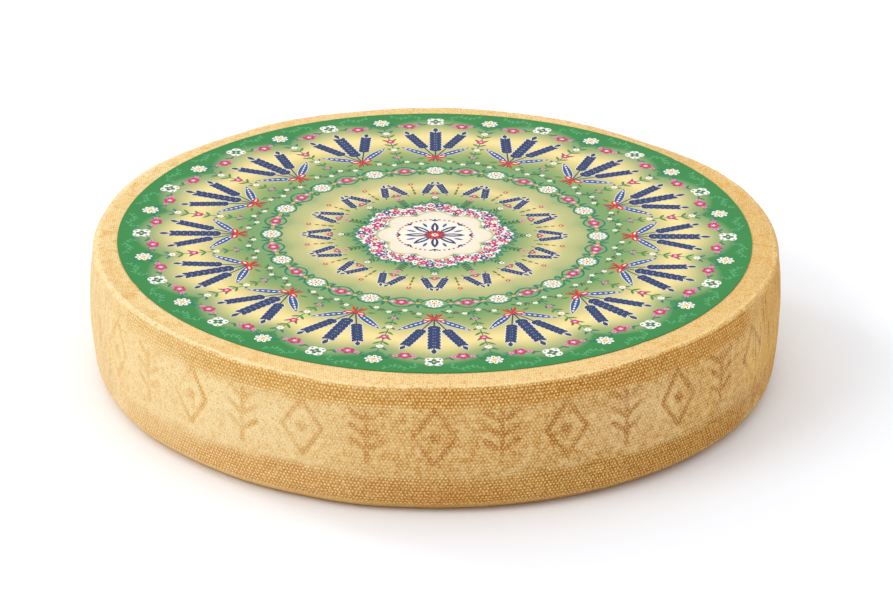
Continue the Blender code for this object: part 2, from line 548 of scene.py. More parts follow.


# %% [markdown]
# ## Paler and browner patches
# Some patches of the rind are browner than the rest and some are paler.
# Each patch is (bearing, distance from the crest, half its turn, half its height, strength), with a
# plus for brown and a minus for pale. Noise frays the patches, so none shows its round outline.

# %% Patches
PATCHES = (
    (-88.0, 96.0 * MM, 17.0, 15.0 * MM, 1.00),
    (-112.0, 99.0 * MM, 9.0, 7.0 * MM, 0.35),
    (-160.0, -7.5 * MM, 24.0, 6.5 * MM, 0.34),
    (-44.0, 92.0 * MM, 20.0, 20.0 * MM, 0.45),
    (-22.0, 84.0 * MM, 18.0, 26.0 * MM, 0.75),
    (-33.0, 12.0 * MM, 16.0, 16.0 * MM, 0.60),
    (-15.0, 18.0 * MM, 14.0, 34.0 * MM, 0.42),
    (-128.0, 12.0 * MM, 16.0, 14.0 * MM, 0.25),
    (60.0, 90.0 * MM, 26.0, 18.0 * MM, 0.80),
    (150.0, 84.0 * MM, 20.0, 22.0 * MM, 0.55),
    (-118.0, 46.0 * MM, 20.0, 36.0 * MM, -1.00),
    (-146.0, 48.0 * MM, 20.0, 37.0 * MM, -0.60),
    (-57.0, 46.0 * MM, 15.0, 30.0 * MM, -0.60),
    (110.0, 46.0 * MM, 26.0, 34.0 * MM, -0.70),
)


def tint_share(bearing, along, places):
    """Plus where a patch makes the rind browner, minus where it makes it paler, 0 elsewhere."""
    ragged = 0.35 * smooth_noise(places, 0.022, 18) + 0.15 * smooth_noise(places, 0.006, 19)
    tint = np.zeros_like(along)
    for centre, middle, half_turn, half_height, strength in PATCHES:
        patch = bearing_hump(bearing, centre, half_turn) * hump(along - middle, half_height)
        tint += strength * np.clip(patch * (1.0 + ragged), 0.0, 1.0)
    return np.clip(tint, -1.0, 1.0)


# %% [markdown]
# ## Scars
# As a cheese dries, its worn rind cracks upright. A few such cracks are wide enough to feel, so they
# are real grooves in the mesh. Their places are drawn at random from a fixed seed, in the stretches
# that are given as (centre, half width, how many).

# %% Scars of the worn rind
SCAR_STRETCHES = ((-24.0, 14.0, 26), (8.0, 24.0, 16), (-166.0, 16.0, 7), (120.0, 16.0, 12))
SCAR_LENGTHS = (6.0 * MM, 22.0 * MM)
SCAR_SPAN = (6.0 * MM, 88.0 * MM)
SCAR_HALF_WIDTH = 1.35 * MM
SCAR_BOW = 0.9 * MM


def make_scars():
    """Upright cracks in the worn rind as (bearing, start, length, depth share)."""
    draw = np.random.default_rng(12)
    scars = []
    for centre, half_width, count in SCAR_STRETCHES:
        for _ in range(count):
            length = draw.uniform(*SCAR_LENGTHS)
            start = draw.uniform(SCAR_SPAN[0], SCAR_SPAN[1] - length)
            bearing = centre + draw.uniform(-half_width, half_width)
            scars.append((bearing, start, length, draw.uniform(0.4, 1.0)))
    return scars


SCARS = make_scars()
print(len(SCARS), "scars")


def scar_share(bearing, along):
    share = np.zeros_like(along)
    for centre, start, length, depth in SCARS:
        off = np.radians(turn_from(centre, bearing)) * WHEEL_RADIUS
        bow = SCAR_BOW * np.sin((along - start) / length * np.pi * 1.3 + centre)
        inside = hump(off - bow, SCAR_HALF_WIDTH) * hump(along - start - 0.5 * length, 0.5 * length)
        share = np.maximum(share, inside * depth)
    return share


# %% [markdown]
# ## The surface of the dressed rind
# One function gives the finished place of any bearing and distance, and everything that is known about
# it: how worn it is, how deep its beads are, whether it lies in the frieze, a scar or a patch. The rind
# and the beads both call it, so a bead always stands on the rind. The relief is soft undulation, a
# crumbling crest with a ridge in some stretches, the sunk parts and a low roll above the foot. Under
# the label and on the resting face it fades to nothing.

# %% Relief of the rind
UNDULATION = 0.32 * MM
LUMPS = 0.11 * MM
FRIEZE_SUNK = 0.28 * MM
BAND_SUNK = 0.10 * MM
SCAR_SUNK = 0.42 * MM
CREST_CRUMBLE = 0.28 * MM
CRUMBLED_STRETCHES = ((-28.0, 40.0, 2.2), (-146.0, 36.0, 0.9))
LIP_RIDGE = 0.85 * MM
RIDGE_PLACE = -1.6 * MM
RIDGED_STRETCHES = ((-146.0, 36.0, 1.0), (92.0, 30.0, 0.6), (-24.0, 34.0, 0.6))
FOOT_ROLL = 0.35 * MM
FOOT_ROLL_PLACE = 107.0 * MM
LABEL_CLEAR = (0.2700, 0.2755)


def dressed_places(bearing, along):
    """Places on the finished surface, the way out of it, and what the rind is like there."""
    places, facing = turned_places(bearing, along)
    worn = worn_share(bearing, along, places)
    frieze = frieze_share(bearing, along, places, worn)
    depth = bead_depth(bearing, along, places, worn, frieze)
    scar = scar_share(bearing, along)
    relief = UNDULATION * smooth_noise(places, 0.045, 1) + LUMPS * smooth_noise(places, 0.011, 2)
    relief -= FRIEZE_SUNK * frieze + BAND_SUNK * depth + SCAR_SUNK * scar
    crumbled = on_stretches(bearing, CRUMBLED_STRETCHES, 0.7) * hump(along, 4.0 * MM)
    relief += CREST_CRUMBLE * crumbled * smooth_noise(places, 0.0045, 6)
    off_ridge = along - RIDGE_PLACE + 0.9 * MM * smooth_noise(places, 0.016, 17)
    swelling = 0.75 + 0.45 * smooth_noise(places, 0.012, 16)
    ridged = on_stretches(bearing, RIDGED_STRETCHES) * hump(off_ridge, 3.0 * MM)
    relief += LIP_RIDGE * ridged * swelling
    relief *= smooth_share(round_axis(places)[1], *LABEL_CLEAR)
    relief *= 1.0 - smooth_share(along, FOOT_START, FOOT_END)
    relief += FOOT_ROLL * hump(along - FOOT_ROLL_PLACE, 3.0 * MM)
    places = places + facing * relief[:, None]
    tint = tint_share(bearing, along, places)
    return places, facing, {"worn": worn, "frieze": frieze, "depth": depth, "scar": scar, "tint": tint}


# %% [markdown]
# ## A flat map of every piece
# A piece's colours can also be laid down in a square image, and then each face needs its own place in
# that square. The side of the wheel is a band twelve times as long as it is high, so it is cut into
# lengths that are stacked as rows. A flat face is drawn as it is seen from above. The map is named
# OFBake.

# %% Rows and discs of a map
MAP_NAME = "OFBake"
MAP_MARGIN = 0.004


def write_map(mesh, across, up):
    """Stores a place in the unit square for every corner of every face."""
    layer = mesh.uv_layers.get(MAP_NAME) or mesh.uv_layers.new(name=MAP_NAME)
    both = np.stack([across, up], axis=1).astype(np.float32)
    layer.data.foreach_set("uv", both.ravel())
    outside = np.sum((both < 0.0) | (both > 1.0))
    print(mesh.name, "map from", both.min(axis=0), "to", both.max(axis=0), "outside", outside)


def corner_points(mesh):
    """For every corner of every face: which point it is, and which face it belongs to."""
    points = np.zeros(len(mesh.loops), dtype=np.int64)
    mesh.loops.foreach_get("vertex_index", points)
    sides = np.zeros(len(mesh.polygons), dtype=np.int64)
    mesh.polygons.foreach_get("loop_total", sides)
    return points, np.repeat(np.arange(len(sides)), sides)


def distance_along(places, eye):
    """The distance along the outline of places on the finished wheel, by the way in which they are
    seen from an eye inside it, given as a radius and a height."""
    seen = np.arctan2(places[:, 2] - eye[1], round_axis(places)[1] - eye[0])
    outline_seen = np.arctan2(OUTLINE[1:-1, 1] - eye[1], OUTLINE[1:-1, 0] - eye[0])
    return np.interp(-seen, -outline_seen, LENGTHS[1:-1])


def rows_of_band(bearing, centre, along, first, last, count, top=1.0):
    """Cuts a band into lengths stacked as rows. Centre is the bearing that picks a corner's row."""
    step = 360.0 / count
    number = np.clip(np.floor((centre + 180.0) / step), 0, count - 1)
    middle = (number + 0.5) * step - 180.0
    off = turn_from(centre, bearing) + centre - middle
    across = 0.5 + off / step * (1.0 - 4.0 * MAP_MARGIN)
    share = np.clip((along - first) / (last - first), 0.0, 1.0)
    height = top / count
    return across, height * (number + 1.0) - MAP_MARGIN - share * (height - 2.0 * MAP_MARGIN)


# %% [markdown]
# ## The rind as one turned body
# A turned main piece suits Geometry Nodes. The script draws only the outline, as a line of points that
# also carry their distance along it. The tree lays a grid with one column for each bearing and one row
# for each point, bends every column round the axis, and merges the seam and both poles. A lathe
# modifier would do as well, but the tree can hand the distance on as an attribute in the same go.

# %% Tree that turns an outline
turning, given = geometry_tree("turn_outline", ("Bearings", "Int", 90), ("Rows", "Int", 10))
index = signal(turning, "GeometryNodeInputIndex")
row = index.math("MODULO", given["Rows"])
column = (index / given["Rows"]).math("FLOOR")
turned = column / given["Bearings"] * (2.0 * math.pi) - math.pi


def of_outline(values, data_type):
    """What holds at the outline's point of the same row."""
    inputs = {"Geometry": given["Geometry"], "Value": values, "Index": row}
    return signal(turning, "GeometryNodeSampleIndex", {"data_type": data_type}, inputs)


radius, _, height = parts_of(of_outline(signal(turning, "GeometryNodeInputPosition"), "FLOAT_VECTOR"))
bent = vector_of(turning, radius * turned.math("COSINE"), radius * turned.math("SINE"), height)
grid = signal(
    turning,
    "GeometryNodeMeshGrid",
    None,
    {"Vertices X": given["Bearings"] + 1.0, "Vertices Y": given["Rows"]},
)
shape = move(store(grid, "along", of_outline(noted(turning, "along", "FLOAT"), "FLOAT")), bent)
shape = signal(turning, "GeometryNodeMergeByDistance", None, {"Geometry": shape, "Distance": 1e-5})
end_tree(turning, shape, given["Material"])

# %% Turn the rind
BEARINGS = 1050
RIM_START = TOP_END + 0.2585
RIM_END = TOP_END + EDGE_START
BEND_END = 7.0 * MM


def outline_rows():
    """Distances along the outline of the rows of the rind's mesh: close where it bends or shows."""
    top = [TOP_END, TOP_END + 0.13, TOP_END + 0.245]
    rim = np.linspace(RIM_START, RIM_END, 5)
    edge = np.linspace(RIM_END, BEND_END, 20)[1:]
    side = np.linspace(BEND_END, FOOT_START, 49)[1:]
    foot = np.linspace(FOOT_START, FOOT_END, 15)[1:]
    under = np.linspace(FOOT_END, UNDER_END, 6)[1:]
    return np.concatenate([top, rim, edge, side, foot, under])


rows = outline_rows()
profile = np.stack([np.interp(rows, LENGTHS, OUTLINE[:, part]) for part in (0, 1)], axis=1)
rind_material = bpy.data.materials.new("rind_ground")
rind = add_piece("rind", outline_mesh("rind_outline", profile, rows))
add_tree(rind, turning, {"Bearings": BEARINGS, "Rows": len(rows), "Material": rind_material})
settle(rind)

# %% [markdown]
# ## Working the rind
# The turned body is still perfectly even. Every point is now moved to its place on the dressed surface
# and keeps what the rind is like there as attributes, which the material reads. A displacement in the
# material would leave the mesh itself smooth. Last, the rind gets its flat map: three rows for the
# rim and the side, and above them one disc each for the upper face and the resting face.

# %% Work the rind uneven and note what each place is
AT_POLE = 1e-4
ROWS_ON_MAP = 3
ROWS_SHARE = 0.735
DISC_HEIGHT = 0.868
DISC_HALF = 0.12
UPPER_DISC = (0.13, DISC_HALF)
LOWER_DISC = (0.63, -3.0 * DISC_HALF)


def work_rind(mesh):
    places = read_places(mesh)
    places, facing, marks = dressed_places(round_axis(places)[0], read_value(mesh, "along"))
    places[round_axis(places)[1] < AT_POLE, :2] = 0.0
    write_places(mesh, places)
    write_values(mesh, **marks)


def face_outwards(mesh):
    shape = bmesh.new()
    shape.from_mesh(mesh)
    bmesh.ops.recalc_face_normals(shape, faces=shape.faces)
    open_edges = sum(edge.is_boundary or not edge.is_manifold for edge in shape.edges)
    volume = shape.calc_volume(signed=True)
    shape.to_mesh(mesh)
    shape.free()
    print(mesh.name, "open edges", open_edges, "volume in litres", round(volume * 1000.0, 2))


def map_rind(mesh):
    """Three rows for the rim and the side, and above them a disc each for the flat faces. The lower
    one is mirrored, as it is seen from below, and drawn out to fill the width."""
    points, faces = corner_points(mesh)
    places = read_places(mesh)[points]
    along = read_value(mesh, "along")[points]
    centres = np.zeros(len(mesh.polygons) * 3)
    mesh.polygons.foreach_get("center", centres)
    centres = centres.reshape(-1, 3)[faces]
    centre, inside = round_axis(centres)
    bearing, _ = round_axis(places)
    across, up = rows_of_band(bearing, centre, along, RIM_START, FOOT_END, ROWS_ON_MAP, ROWS_SHARE)
    upper = (inside < 0.258) & (centres[:, 2] > 0.05)
    lower = (centres[:, 2] < 1.0 * MM) & (inside < SIDE_END - FOOT_ROUNDING)
    for flat, (middle, half) in ((upper, UPPER_DISC), (lower, LOWER_DISC)):
        across = np.where(flat, middle + places[:, 0] / WHEEL_RADIUS * half, across)
        up = np.where(flat, DISC_HEIGHT + places[:, 1] / WHEEL_RADIUS * DISC_HALF, up)
    write_map(mesh, across, up)


work_rind(rind.data)
face_outwards(rind.data)
map_rind(rind.data)

# %% [markdown]
# ## Rows of beads
# The cloth and the hoop press about six hundred beads into each row, every other row shifted by half
# a bead. Painting them would leave the side flat, so each one is a low dome of its own. The places
# come from the same surface function as the rind. The tree stands a small dome on every place, turned
# to face outwards, and realizes them all into one mesh.

# %% Tree that stands a dome on every point
ROUNDNESS = 2.2
doming, given = geometry_tree(
    "stand_domes",
    ("Sides", "Int", 6),
    ("Bead radius", "Float", 0.001),
    ("Bead height", "Float", 0.0005),
    ("Seed", "Int", 1),
)
cone = signal(
    doming,
    "GeometryNodeMeshCone",
    {"fill_type": "NONE"},
    {
        "Vertices": given["Sides"],
        "Side Segments": 2,
        "Radius Top": 0.0,
        "Radius Bottom": 1.0,
        "Depth": 1.0,
    },
    "Mesh",
)
x, y, z = parts_of(signal(doming, "GeometryNodeInputPosition"))
rise = 1.0 - (1.0 - z).math("POWER", ROUNDNESS)
width = given["Bead radius"]
dome = move(store(cone, "rise", rise), vector_of(doming, x * width, y * width, rise * given["Bead height"]))
upright = signal(
    doming,
    "FunctionNodeAlignRotationToVector",
    {"axis": "Z"},
    {"Vector": noted(doming, "facing", "FLOAT_VECTOR")},
)
spin = signal(
    doming,
    "FunctionNodeRandomValue",
    {"data_type": "FLOAT"},
    {"Min": 0.0, "Max": 2.0 * math.pi, "Seed": given["Seed"]},
    "Value",
)
spin = signal(doming, "FunctionNodeEulerToRotation", None, {0: vector_of(doming, z=spin)})
turn = signal(
    doming,
    "FunctionNodeRotateRotation",
    {"rotation_space": "LOCAL"},
    {"Rotation": upright, "Rotate By": spin},
)
standing = signal(
    doming,
    "GeometryNodeInstanceOnPoints",
    None,
    {
        "Points": given["Geometry"],
        "Instance": dome,
        "Rotation": turn,
        "Scale": noted(doming, "size", "FLOAT_VECTOR"),
    },
)
end_tree(doming, standing, given["Material"])

# %% Stand the beads in their rows
BEADS_IN_ROW = 588
FIRST_ROW = 1.6 * MM
ROW_STEP = 2.72 * MM
ROW_WAVES = ((0.5 * MM, 3.0), (0.3 * MM, 11.0))
BEAD_RADIUS = 1.22 * MM
BEAD_HEIGHT = 0.62 * MM
BEAD_SUNK = 0.16 * MM
BEAD_WOBBLE = 0.20 * MM
TOP_ROWS = range(-1, 8)
MIDDLE_ROWS = range(8, 28)
FOOT_ROWS = range(28, 39)
LEAST_DEPTH = 0.07
bead_material = bpy.data.materials.new("rind_beads")


def bead_places(rows, draw):
    """The bearing and the distance along the outline of each bead in some rows."""
    row = np.repeat(list(rows), BEADS_IN_ROW)
    number = np.tile(np.arange(BEADS_IN_ROW), len(rows)) + 0.5 * (row % 2)
    bearing = number / BEADS_IN_ROW * 360.0 - 180.0
    along = FIRST_ROW + row * ROW_STEP
    for rise, waves in ROW_WAVES:
        along = along + rise * np.sin(np.radians(bearing * waves))
    along += draw.normal(0.0, BEAD_WOBBLE, len(along))
    bearing += np.degrees(draw.normal(0.0, BEAD_WOBBLE, len(along)) / WHEEL_RADIUS)
    return bearing, along


def map_beads(mesh, lengths, eye):
    """Every bead lies whole in the row that its own bearing picks."""
    points, _ = corner_points(mesh)
    places = read_places(mesh)
    along = distance_along(places, eye)
    centre = read_value(mesh, "bearing")
    bearing, _ = round_axis(places)
    across, up = rows_of_band(bearing, centre, along, along.min(), along.max(), lengths)
    write_map(mesh, across[points], up[points])


def stand_beads(name, rows, sides, seed, lengths, eye):
    draw = np.random.default_rng(seed)
    bearing, along = bead_places(rows, draw)
    places, facing, marks = dressed_places(bearing, along)
    kept = marks["depth"] > LEAST_DEPTH
    depth = marks["depth"][kept]
    width = draw.normal(1.0, 0.12, len(depth)) * (0.78 + 0.22 * depth)
    height = draw.normal(1.0, 0.14, len(depth)) * (0.30 + 0.70 * depth)
    tone = draw.uniform(0.0, 1.0, len(depth))
    mesh = bpy.data.meshes.new(name)
    mesh.from_pydata((places - facing * BEAD_SUNK)[kept].tolist(), [], [])
    write_values(mesh, bearing=bearing[kept], along=along[kept], depth=depth, tone=tone)
    write_values(mesh, frieze=marks["frieze"][kept], tint=marks["tint"][kept])
    write_vectors(mesh, facing=facing[kept], size=np.stack([width, width, height], axis=1))
    thing = add_piece(name, mesh)
    sizes = {"Sides": sides, "Bead radius": BEAD_RADIUS, "Bead height": BEAD_HEIGHT}
    add_tree(thing, doming, {**sizes, "Seed": seed, "Material": bead_material})
    print(name, len(depth), "beads")
    settle(thing)
    map_beads(thing.data, lengths, eye)
    return thing


beads = [
    stand_beads("beads_under_crest", TOP_ROWS, 8, 21, 8, (0.262, 0.088)),
    stand_beads("beads_middle", MIDDLE_ROWS, 5, 22, 6, (0.150, 0.060)),
    stand_beads("beads_above_foot", FOOT_ROWS, 8, 23, 8, (0.262, 0.028)),
]

# %% [markdown]
# ## Shared effects of the rind
# Two materials show the rind: the ground of the side and the domes on it. Both take their colours from
# one group, so that a bead always matches the rind round it. Separate groups give mottling, cloth
# grain and upright streaks. They put out masks and colours only, and each material wires them to its
# own shader.

# %% Mottling, cloth grain and streaks
CRACK_STRETCH = 0.35


def shader_group(name, inputs, outputs):
    return new_tree(name, "ShaderNodeTree", inputs, outputs)


def use_group(group, where, **inputs):
    """Places a node group in the tree of the places that it works on."""
    settings = {"node_tree": group}
    return by_name(place(where.tree, "ShaderNodeGroup", settings, {"Vector": where, **inputs}).outputs)


def noise_at(where, scale, detail=2.0, roughness=0.5):
    inputs = {"Vector": where, "Scale": scale, "Detail": detail, "Roughness": roughness}
    return signal(where.tree, "ShaderNodeTexNoise", None, inputs, "Fac")


def remap(value, low, high, to_low=0.0, to_high=1.0):
    """A value spread from one range to another, held inside it, with soft ends."""
    inputs = {"Value": value, "From Min": low, "From Max": high, "To Min": to_low, "To Max": to_high}
    return signal(value.tree, "ShaderNodeMapRange", {"interpolation_type": "SMOOTHSTEP"}, inputs)


def drawn_out(where, share):
    """Places squeezed upwards, so that a pattern there runs in upright streaks."""
    inputs = {0: where, 1: vector_of(where.tree, 1.0, 1.0, share)}
    return signal(where.tree, "ShaderNodeVectorMath", {"operation": "MULTIPLY"}, inputs)


VALUE_OUT = (("Value", "Float"),)
mottling, given = shader_group("mottling", (("Vector", "Vector"), ("Size", "Float", 0.02)), VALUE_OUT)
scale = 1.0 / given["Size"]
coarse = noise_at(given["Vector"], scale, 3.0, 0.55)
fine = noise_at(given["Vector"], scale * 6.3)
put_out(mottling, {"Value": remap(coarse * 0.65 + fine * 0.35, 0.34, 0.66)})

cloth, given = shader_group(
    "cloth_grain",
    (("Vector", "Vector"), ("Across", "Float"), ("Along", "Float"), ("Wobble", "Float", 1.0)),
    VALUE_OUT,
)
shake = (noise_at(given["Vector"], 140.0) - 0.5) * given["Wobble"]
weft = (given["Across"] + shake).math("SINE")
warp = (given["Along"] + shake).math("SINE")
put_out(cloth, {"Value": (weft + warp) * 0.25 + 0.5})

streaks, given = shader_group(
    "upright_streaks",
    (("Vector", "Vector"), ("Stretch", "Float", 0.06), ("Scale", "Float", 500.0)),
    (("Fine", "Float"), ("Cracks", "Float")),
)
where = drawn_out(given["Vector"], given["Stretch"])
fine = remap(noise_at(where, given["Scale"], 3.0, 0.6), 0.30, 0.70)
off_contour = (noise_at(where, given["Scale"] * 0.42, 1.0) - 0.5).math("ABSOLUTE")
breaks = noise_at(drawn_out(given["Vector"], CRACK_STRETCH), 62.0)
put_out(streaks, {"Fine": fine, "Cracks": remap(off_contour, 0.028, 0.016) * remap(breaks, 0.46, 0.52)})

# %% [markdown]
# ## Colours of the rind
# The rim is cream, the bands are ochre between pale beads, the middle is tan, and the lines of the
# frieze are brown. Most colours have two tones: the rind is paler at the left and riper at the right,
# and the right tones are also darker as painted shade, for the side that faces away from the lamps.
# Where it is worn it turns back to cream, or to yellow where it is ripe. The distance along the
# outline picks the zone, so the colours follow the crest and the foot exactly, whatever their
# swells. Each colour is built as a painter would: a first tone, then thin coats over it.

# %% Tones, each pair from left to right
PAINT_STRENGTH = 0.95


def paint(red, green, blue):
    """A colour as mixed on screen, 0 to 255, turned into the linear values that shaders take. The
    strength keeps the palest rind a little darker than the white floor."""
    def linear(part):
        part /= 255.0
        return part / 12.92 if part <= 0.04045 else ((part + 0.055) / 1.055) ** 2.4
    return tuple(PAINT_STRENGTH * linear(part) for part in (red, green, blue)) + (1.0,)


# Each pair is a left tone and a right tone. The right tones are riper rind and also painted shade, for the
# side that faces away from the lamps.
CREAM = (paint(252, 232, 178), paint(244, 218, 162))
CREAM_DEEP = paint(238, 200, 128)
# Painted shade: the rim's cream darkened at the far right.
CREAM_IN_SHADE = paint(224, 192, 128)
TAN = (paint(251, 229, 174), paint(253, 215, 142))
TAN_PALE = paint(250, 227, 174)
OCHRE = (paint(214, 156, 62), paint(168, 96, 4))
# Painted shade: the ochre low on the side is darker, where the side curves in under the belly.
OCHRE_SHADED_LOW = (paint(212, 148, 76), paint(156, 95, 14))
BROWN = (paint(222, 160, 84), paint(150, 78, 28))
CROWN = (paint(255, 241, 184), paint(255, 213, 120))
CROWN_FAINT = paint(255, 239, 184)
WORN = (paint(242, 224, 180), paint(227, 170, 58))
PALE = (CREAM[0], paint(252, 220, 156))
# Painted highlight: a pale line where the lip ridge catches the light, weaker towards the right.
RIDGE_HIGHLIGHT = (paint(255, 236, 196), PALE[1])
# The foot strip's tones. The right one is darker as painted shade under the belly.
FOOT_SHADED_AT_RIGHT = (paint(238, 192, 116), paint(188, 128, 46))
GOLD = paint(222, 168, 84)
PATCH_BROWN = paint(176, 104, 16)
CRACK = paint(148, 78, 14)

# %% Zones and mottling of the colour group
MIX_SHARE, MIX_FIRST, MIX_SECOND, MIX_COLOUR = 0, 6, 7, 2
NUMBER_FIRST, NUMBER_SECOND = 2, 3


def blend(share, first, second):
    """Two colours mixed by a share. The Mix node has its sockets for numbers before these."""
    inputs = {MIX_SHARE: share, MIX_FIRST: first, MIX_SECOND: second}
    return signal(share.tree, "ShaderNodeMix", {"data_type": "RGBA"}, inputs, MIX_COLOUR)


def coated(colour, *coats):
    """A colour with coats laid over it in turn, each (share, colour of the coat)."""
    for share, coat in coats:
        colour = blend(share, colour, coat)
    return colour


def mottled(where, size):
    return use_group(mottling, where, Size=size)["Value"]


RIND_MARKS = ("Along", "Worn", "Frieze", "Depth", "Tint")
RIND_COLOURS = ("Ground", "Crown", "Ochre", "Brown", "Pale")
hue, given = shader_group(
    "rind_colours",
    (("Vector", "Vector"), *((name, "Float") for name in RIND_MARKS)),
    (*((name, "Color") for name in RIND_COLOURS), ("Rightness", "Float")),
)
where = given["Vector"]
frieze = given["Frieze"]
depth = given["Depth"]
along_mm = given["Along"] * 1000.0
large = mottled(where, 0.045)
small = mottled(where, 0.0065)
patches = remap(mottled(where, 0.016), 0.55, 1.0)
x, y, z = parts_of(where)
# How far a place lies towards the right. It mixes in the right tones: riper rind, and painted shade on the
# side away from the lamps.
right_ripe_and_shaded = remap(x, -0.22, 0.04) * 0.78 + remap(x, 0.0, 0.22) * 0.22
far_right = remap(x, 0.12, 0.25)
sideways = remap(x.math("ABSOLUTE"), 0.05, 0.24)

# %% Middle, bands, frieze and worn rind
middle = coated(blend(right_ripe_and_shaded, *TAN), (small * 0.45, TAN_PALE), (patches * 0.24, GOLD))
ochre = coated(
    blend(right_ripe_and_shaded, *OCHRE),
    (far_right * 0.32, OCHRE[0]),
    # Painted shade: below the middle the ochre turns darker, where the side curves in under the belly.
    (remap(along_mm, 60.0, 80.0), blend(right_ripe_and_shaded, *OCHRE_SHADED_LOW)),
)
brown = blend(right_ripe_and_shaded, *BROWN)
ripest = right_ripe_and_shaded * remap(y, 0.06, -0.04, 0.40, 1.0)
worn_tone = coated(blend(ripest, *WORN), (small * 0.50, CREAM_DEEP), (patches * 0.42, GOLD))
faded = (given["Tint"] * -1.0).math("MAXIMUM", 0.0) * (1.0 - frieze * 0.85) * 0.60
ground = coated(
    middle,
    (remap(depth, 0.02, 1.02), ochre),
    (frieze * 0.9, brown),
    (given["Worn"] * 0.85, worn_tone),
    (faded, TAN_PALE),
)

# %% Rim, crest, foot and resting face
cream = coated(
    blend(remap(x, -0.30, -0.05), *CREAM),
    (large * 0.42, CREAM_DEEP),
    # Painted shade: the rim's cream is darker at the far right.
    (far_right * 0.75, CREAM_IN_SHADE),
    (patches * (sideways * 0.66 + 0.12), GOLD),
)
near_crest = remap(along_mm + small * 1.6, -0.2, 3.4, 1.0, 0.0)
ragged_mm = along_mm + (small - 0.5) * 2.4
# Where the painted highlight of the lip ridge lies, just above the crest.
ridge_highlight_share = remap(ragged_mm, -5.0, -2.2) * remap(ragged_mm, 1.4, -1.0)
resting = coated(
    blend(large * 0.75, TAN[1], CREAM_DEEP),
    (patches * 0.55, GOLD),
    (small * 0.35, TAN_PALE),
)
browned = given["Tint"].math("MAXIMUM", 0.0) * 0.60
ground = coated(
    ground,
    (near_crest * (1.0 - depth * 0.9), cream),
    # Painted highlight along the lip ridge, weaker on the right, which faces away from the lamps.
    (ridge_highlight_share * (0.75 - right_ripe_and_shaded * 0.30), blend(right_ripe_and_shaded, *RIDGE_HIGHLIGHT)),
    # The foot strip, painted darker at the right as shade under the belly.
    (remap(along_mm, 103.0, 106.0), blend(right_ripe_and_shaded, *FOOT_SHADED_AT_RIGHT)),
    (remap(ragged_mm + large * 4.0, 112.0, 124.0), resting),
    (browned, PATCH_BROWN),
)

# %% Crowns of the beads
crown = coated(
    blend(right_ripe_and_shaded, *CROWN),
    (large * 0.30, CREAM_DEEP),
    (remap(depth, 0.85, 0.42), CROWN_FAINT),
)
crown = coated(
    blend(remap(depth, 0.0, 0.75), ground, crown),
    (frieze * 0.14, brown),
    (browned * 0.5, PATCH_BROWN),
)
results = dict(zip(RIND_COLOURS, (ground, crown, ochre, brown, blend(right_ripe_and_shaded, *PALE))))
put_out(hue, {**results, "Rightness": right_ripe_and_shaded})

# %% [markdown]
# ## Materials of the rind and its beads
# Washed rind is dull and a little uneven in its gloss. Over the colours of the group the ground gets
# golden freckles, the threads of the cloth, pale and dark specks, pale crumbs on the crest, and fine
# upright cracks where it is worn. The same masks feed a weak bump. The beads need only a paler crown,
# because their shape is real. Each material has one Principled shader.

# %% Material helpers
def attribute(tree, name):
    return signal(tree, "ShaderNodeAttribute", {"attribute_name": name}, None, "Fac")


def places_in(tree):
    return signal(tree, "ShaderNodeTexCoord", None, None, "Object")


def empty_material(material, roughness, gloss):
    """A material with only a Principled shader wired to its output."""
    material.use_nodes = True
    tree = material.node_tree
    tree.nodes.clear()
    inputs = {"Roughness": roughness, "Specular IOR Level": gloss}
    shader = place(tree, "ShaderNodeBsdfPrincipled", None, inputs)
    give(tree.nodes.new("ShaderNodeOutputMaterial"), {0: Signal(shader.outputs[0])})
    return tree, shader


def bump(height, strength, distance):
    inputs = {"Strength": strength, "Distance": distance, "Height": height}
    return signal(height.tree, "ShaderNodeBump", None, inputs)


def rind_colours(where, worn):
    inputs = {name: attribute(where.tree, name.lower()) for name in RIND_MARKS if name != "Worn"}
    return use_group(hue, where, Worn=worn, **inputs)


# %% Material of the ground
THREADS = 3600.0
SIDE_THREADS = (1000.0, 3400.0)
tree, shader = empty_material(rind_material, 0.70, 0.16)
where = places_in(tree)
x, y, z = parts_of(where)
along = attribute(tree, "along")
worn = attribute(tree, "worn")
colours = rind_colours(where, worn)
round_turn = y.math("ARCTAN2", x) * SIDE_THREADS[0]
side_cloth = use_group(cloth, where, Across=round_turn, Along=along * SIDE_THREADS[1], Wobble=6.0)
rim_cloth = use_group(cloth, where, Across=x * THREADS, Along=y * THREADS, Wobble=7.0)
on_rim = remap(along, -3.0 * MM, 0.0, 1.0, 0.0)
on_rim = on_rim.math("MAXIMUM", remap(along, 114.0 * MM, 122.0 * MM))
grain = signal(
    tree,
    "ShaderNodeMix",
    {"data_type": "FLOAT"},
    {MIX_SHARE: on_rim, NUMBER_FIRST: side_cloth["Value"], NUMBER_SECOND: rim_cloth["Value"]},
)
speckle = noise_at(where, 620.0, 3.0, 0.65)
streak = use_group(streaks, where)
streak_share = worn * streak["Fine"]
freckles = remap(noise_at(where, 150.0, 4.0, 0.62), 0.50, 0.68)
freckles = freckles * (on_rim * remap(x, 0.08, 0.24, 0.18, 0.46) + 0.42)
at_crest = remap(along, -4.5 * MM, -1.5 * MM) * remap(along, 3.5 * MM, 0.5 * MM)
crumbs = remap(noise_at(where, 330.0, 2.0, 0.6), 0.55, 0.64) * at_crest * 0.75
riper = remap(colours["Rightness"], 0.2, 0.8, 0.15, 1.0)
clusters = remap(noise_at(where, 14.0, 1.0), 0.40, 0.56, 0.20, 1.0)
clusters = clusters.math("MAXIMUM", remap(y, 0.03, -0.05))
cracks = worn * remap(along, 1.0 * MM, 5.0 * MM) * streak["Cracks"] * riper * clusters
cracks = cracks * remap(y, 0.02, -0.11, 0.30, 1.0)
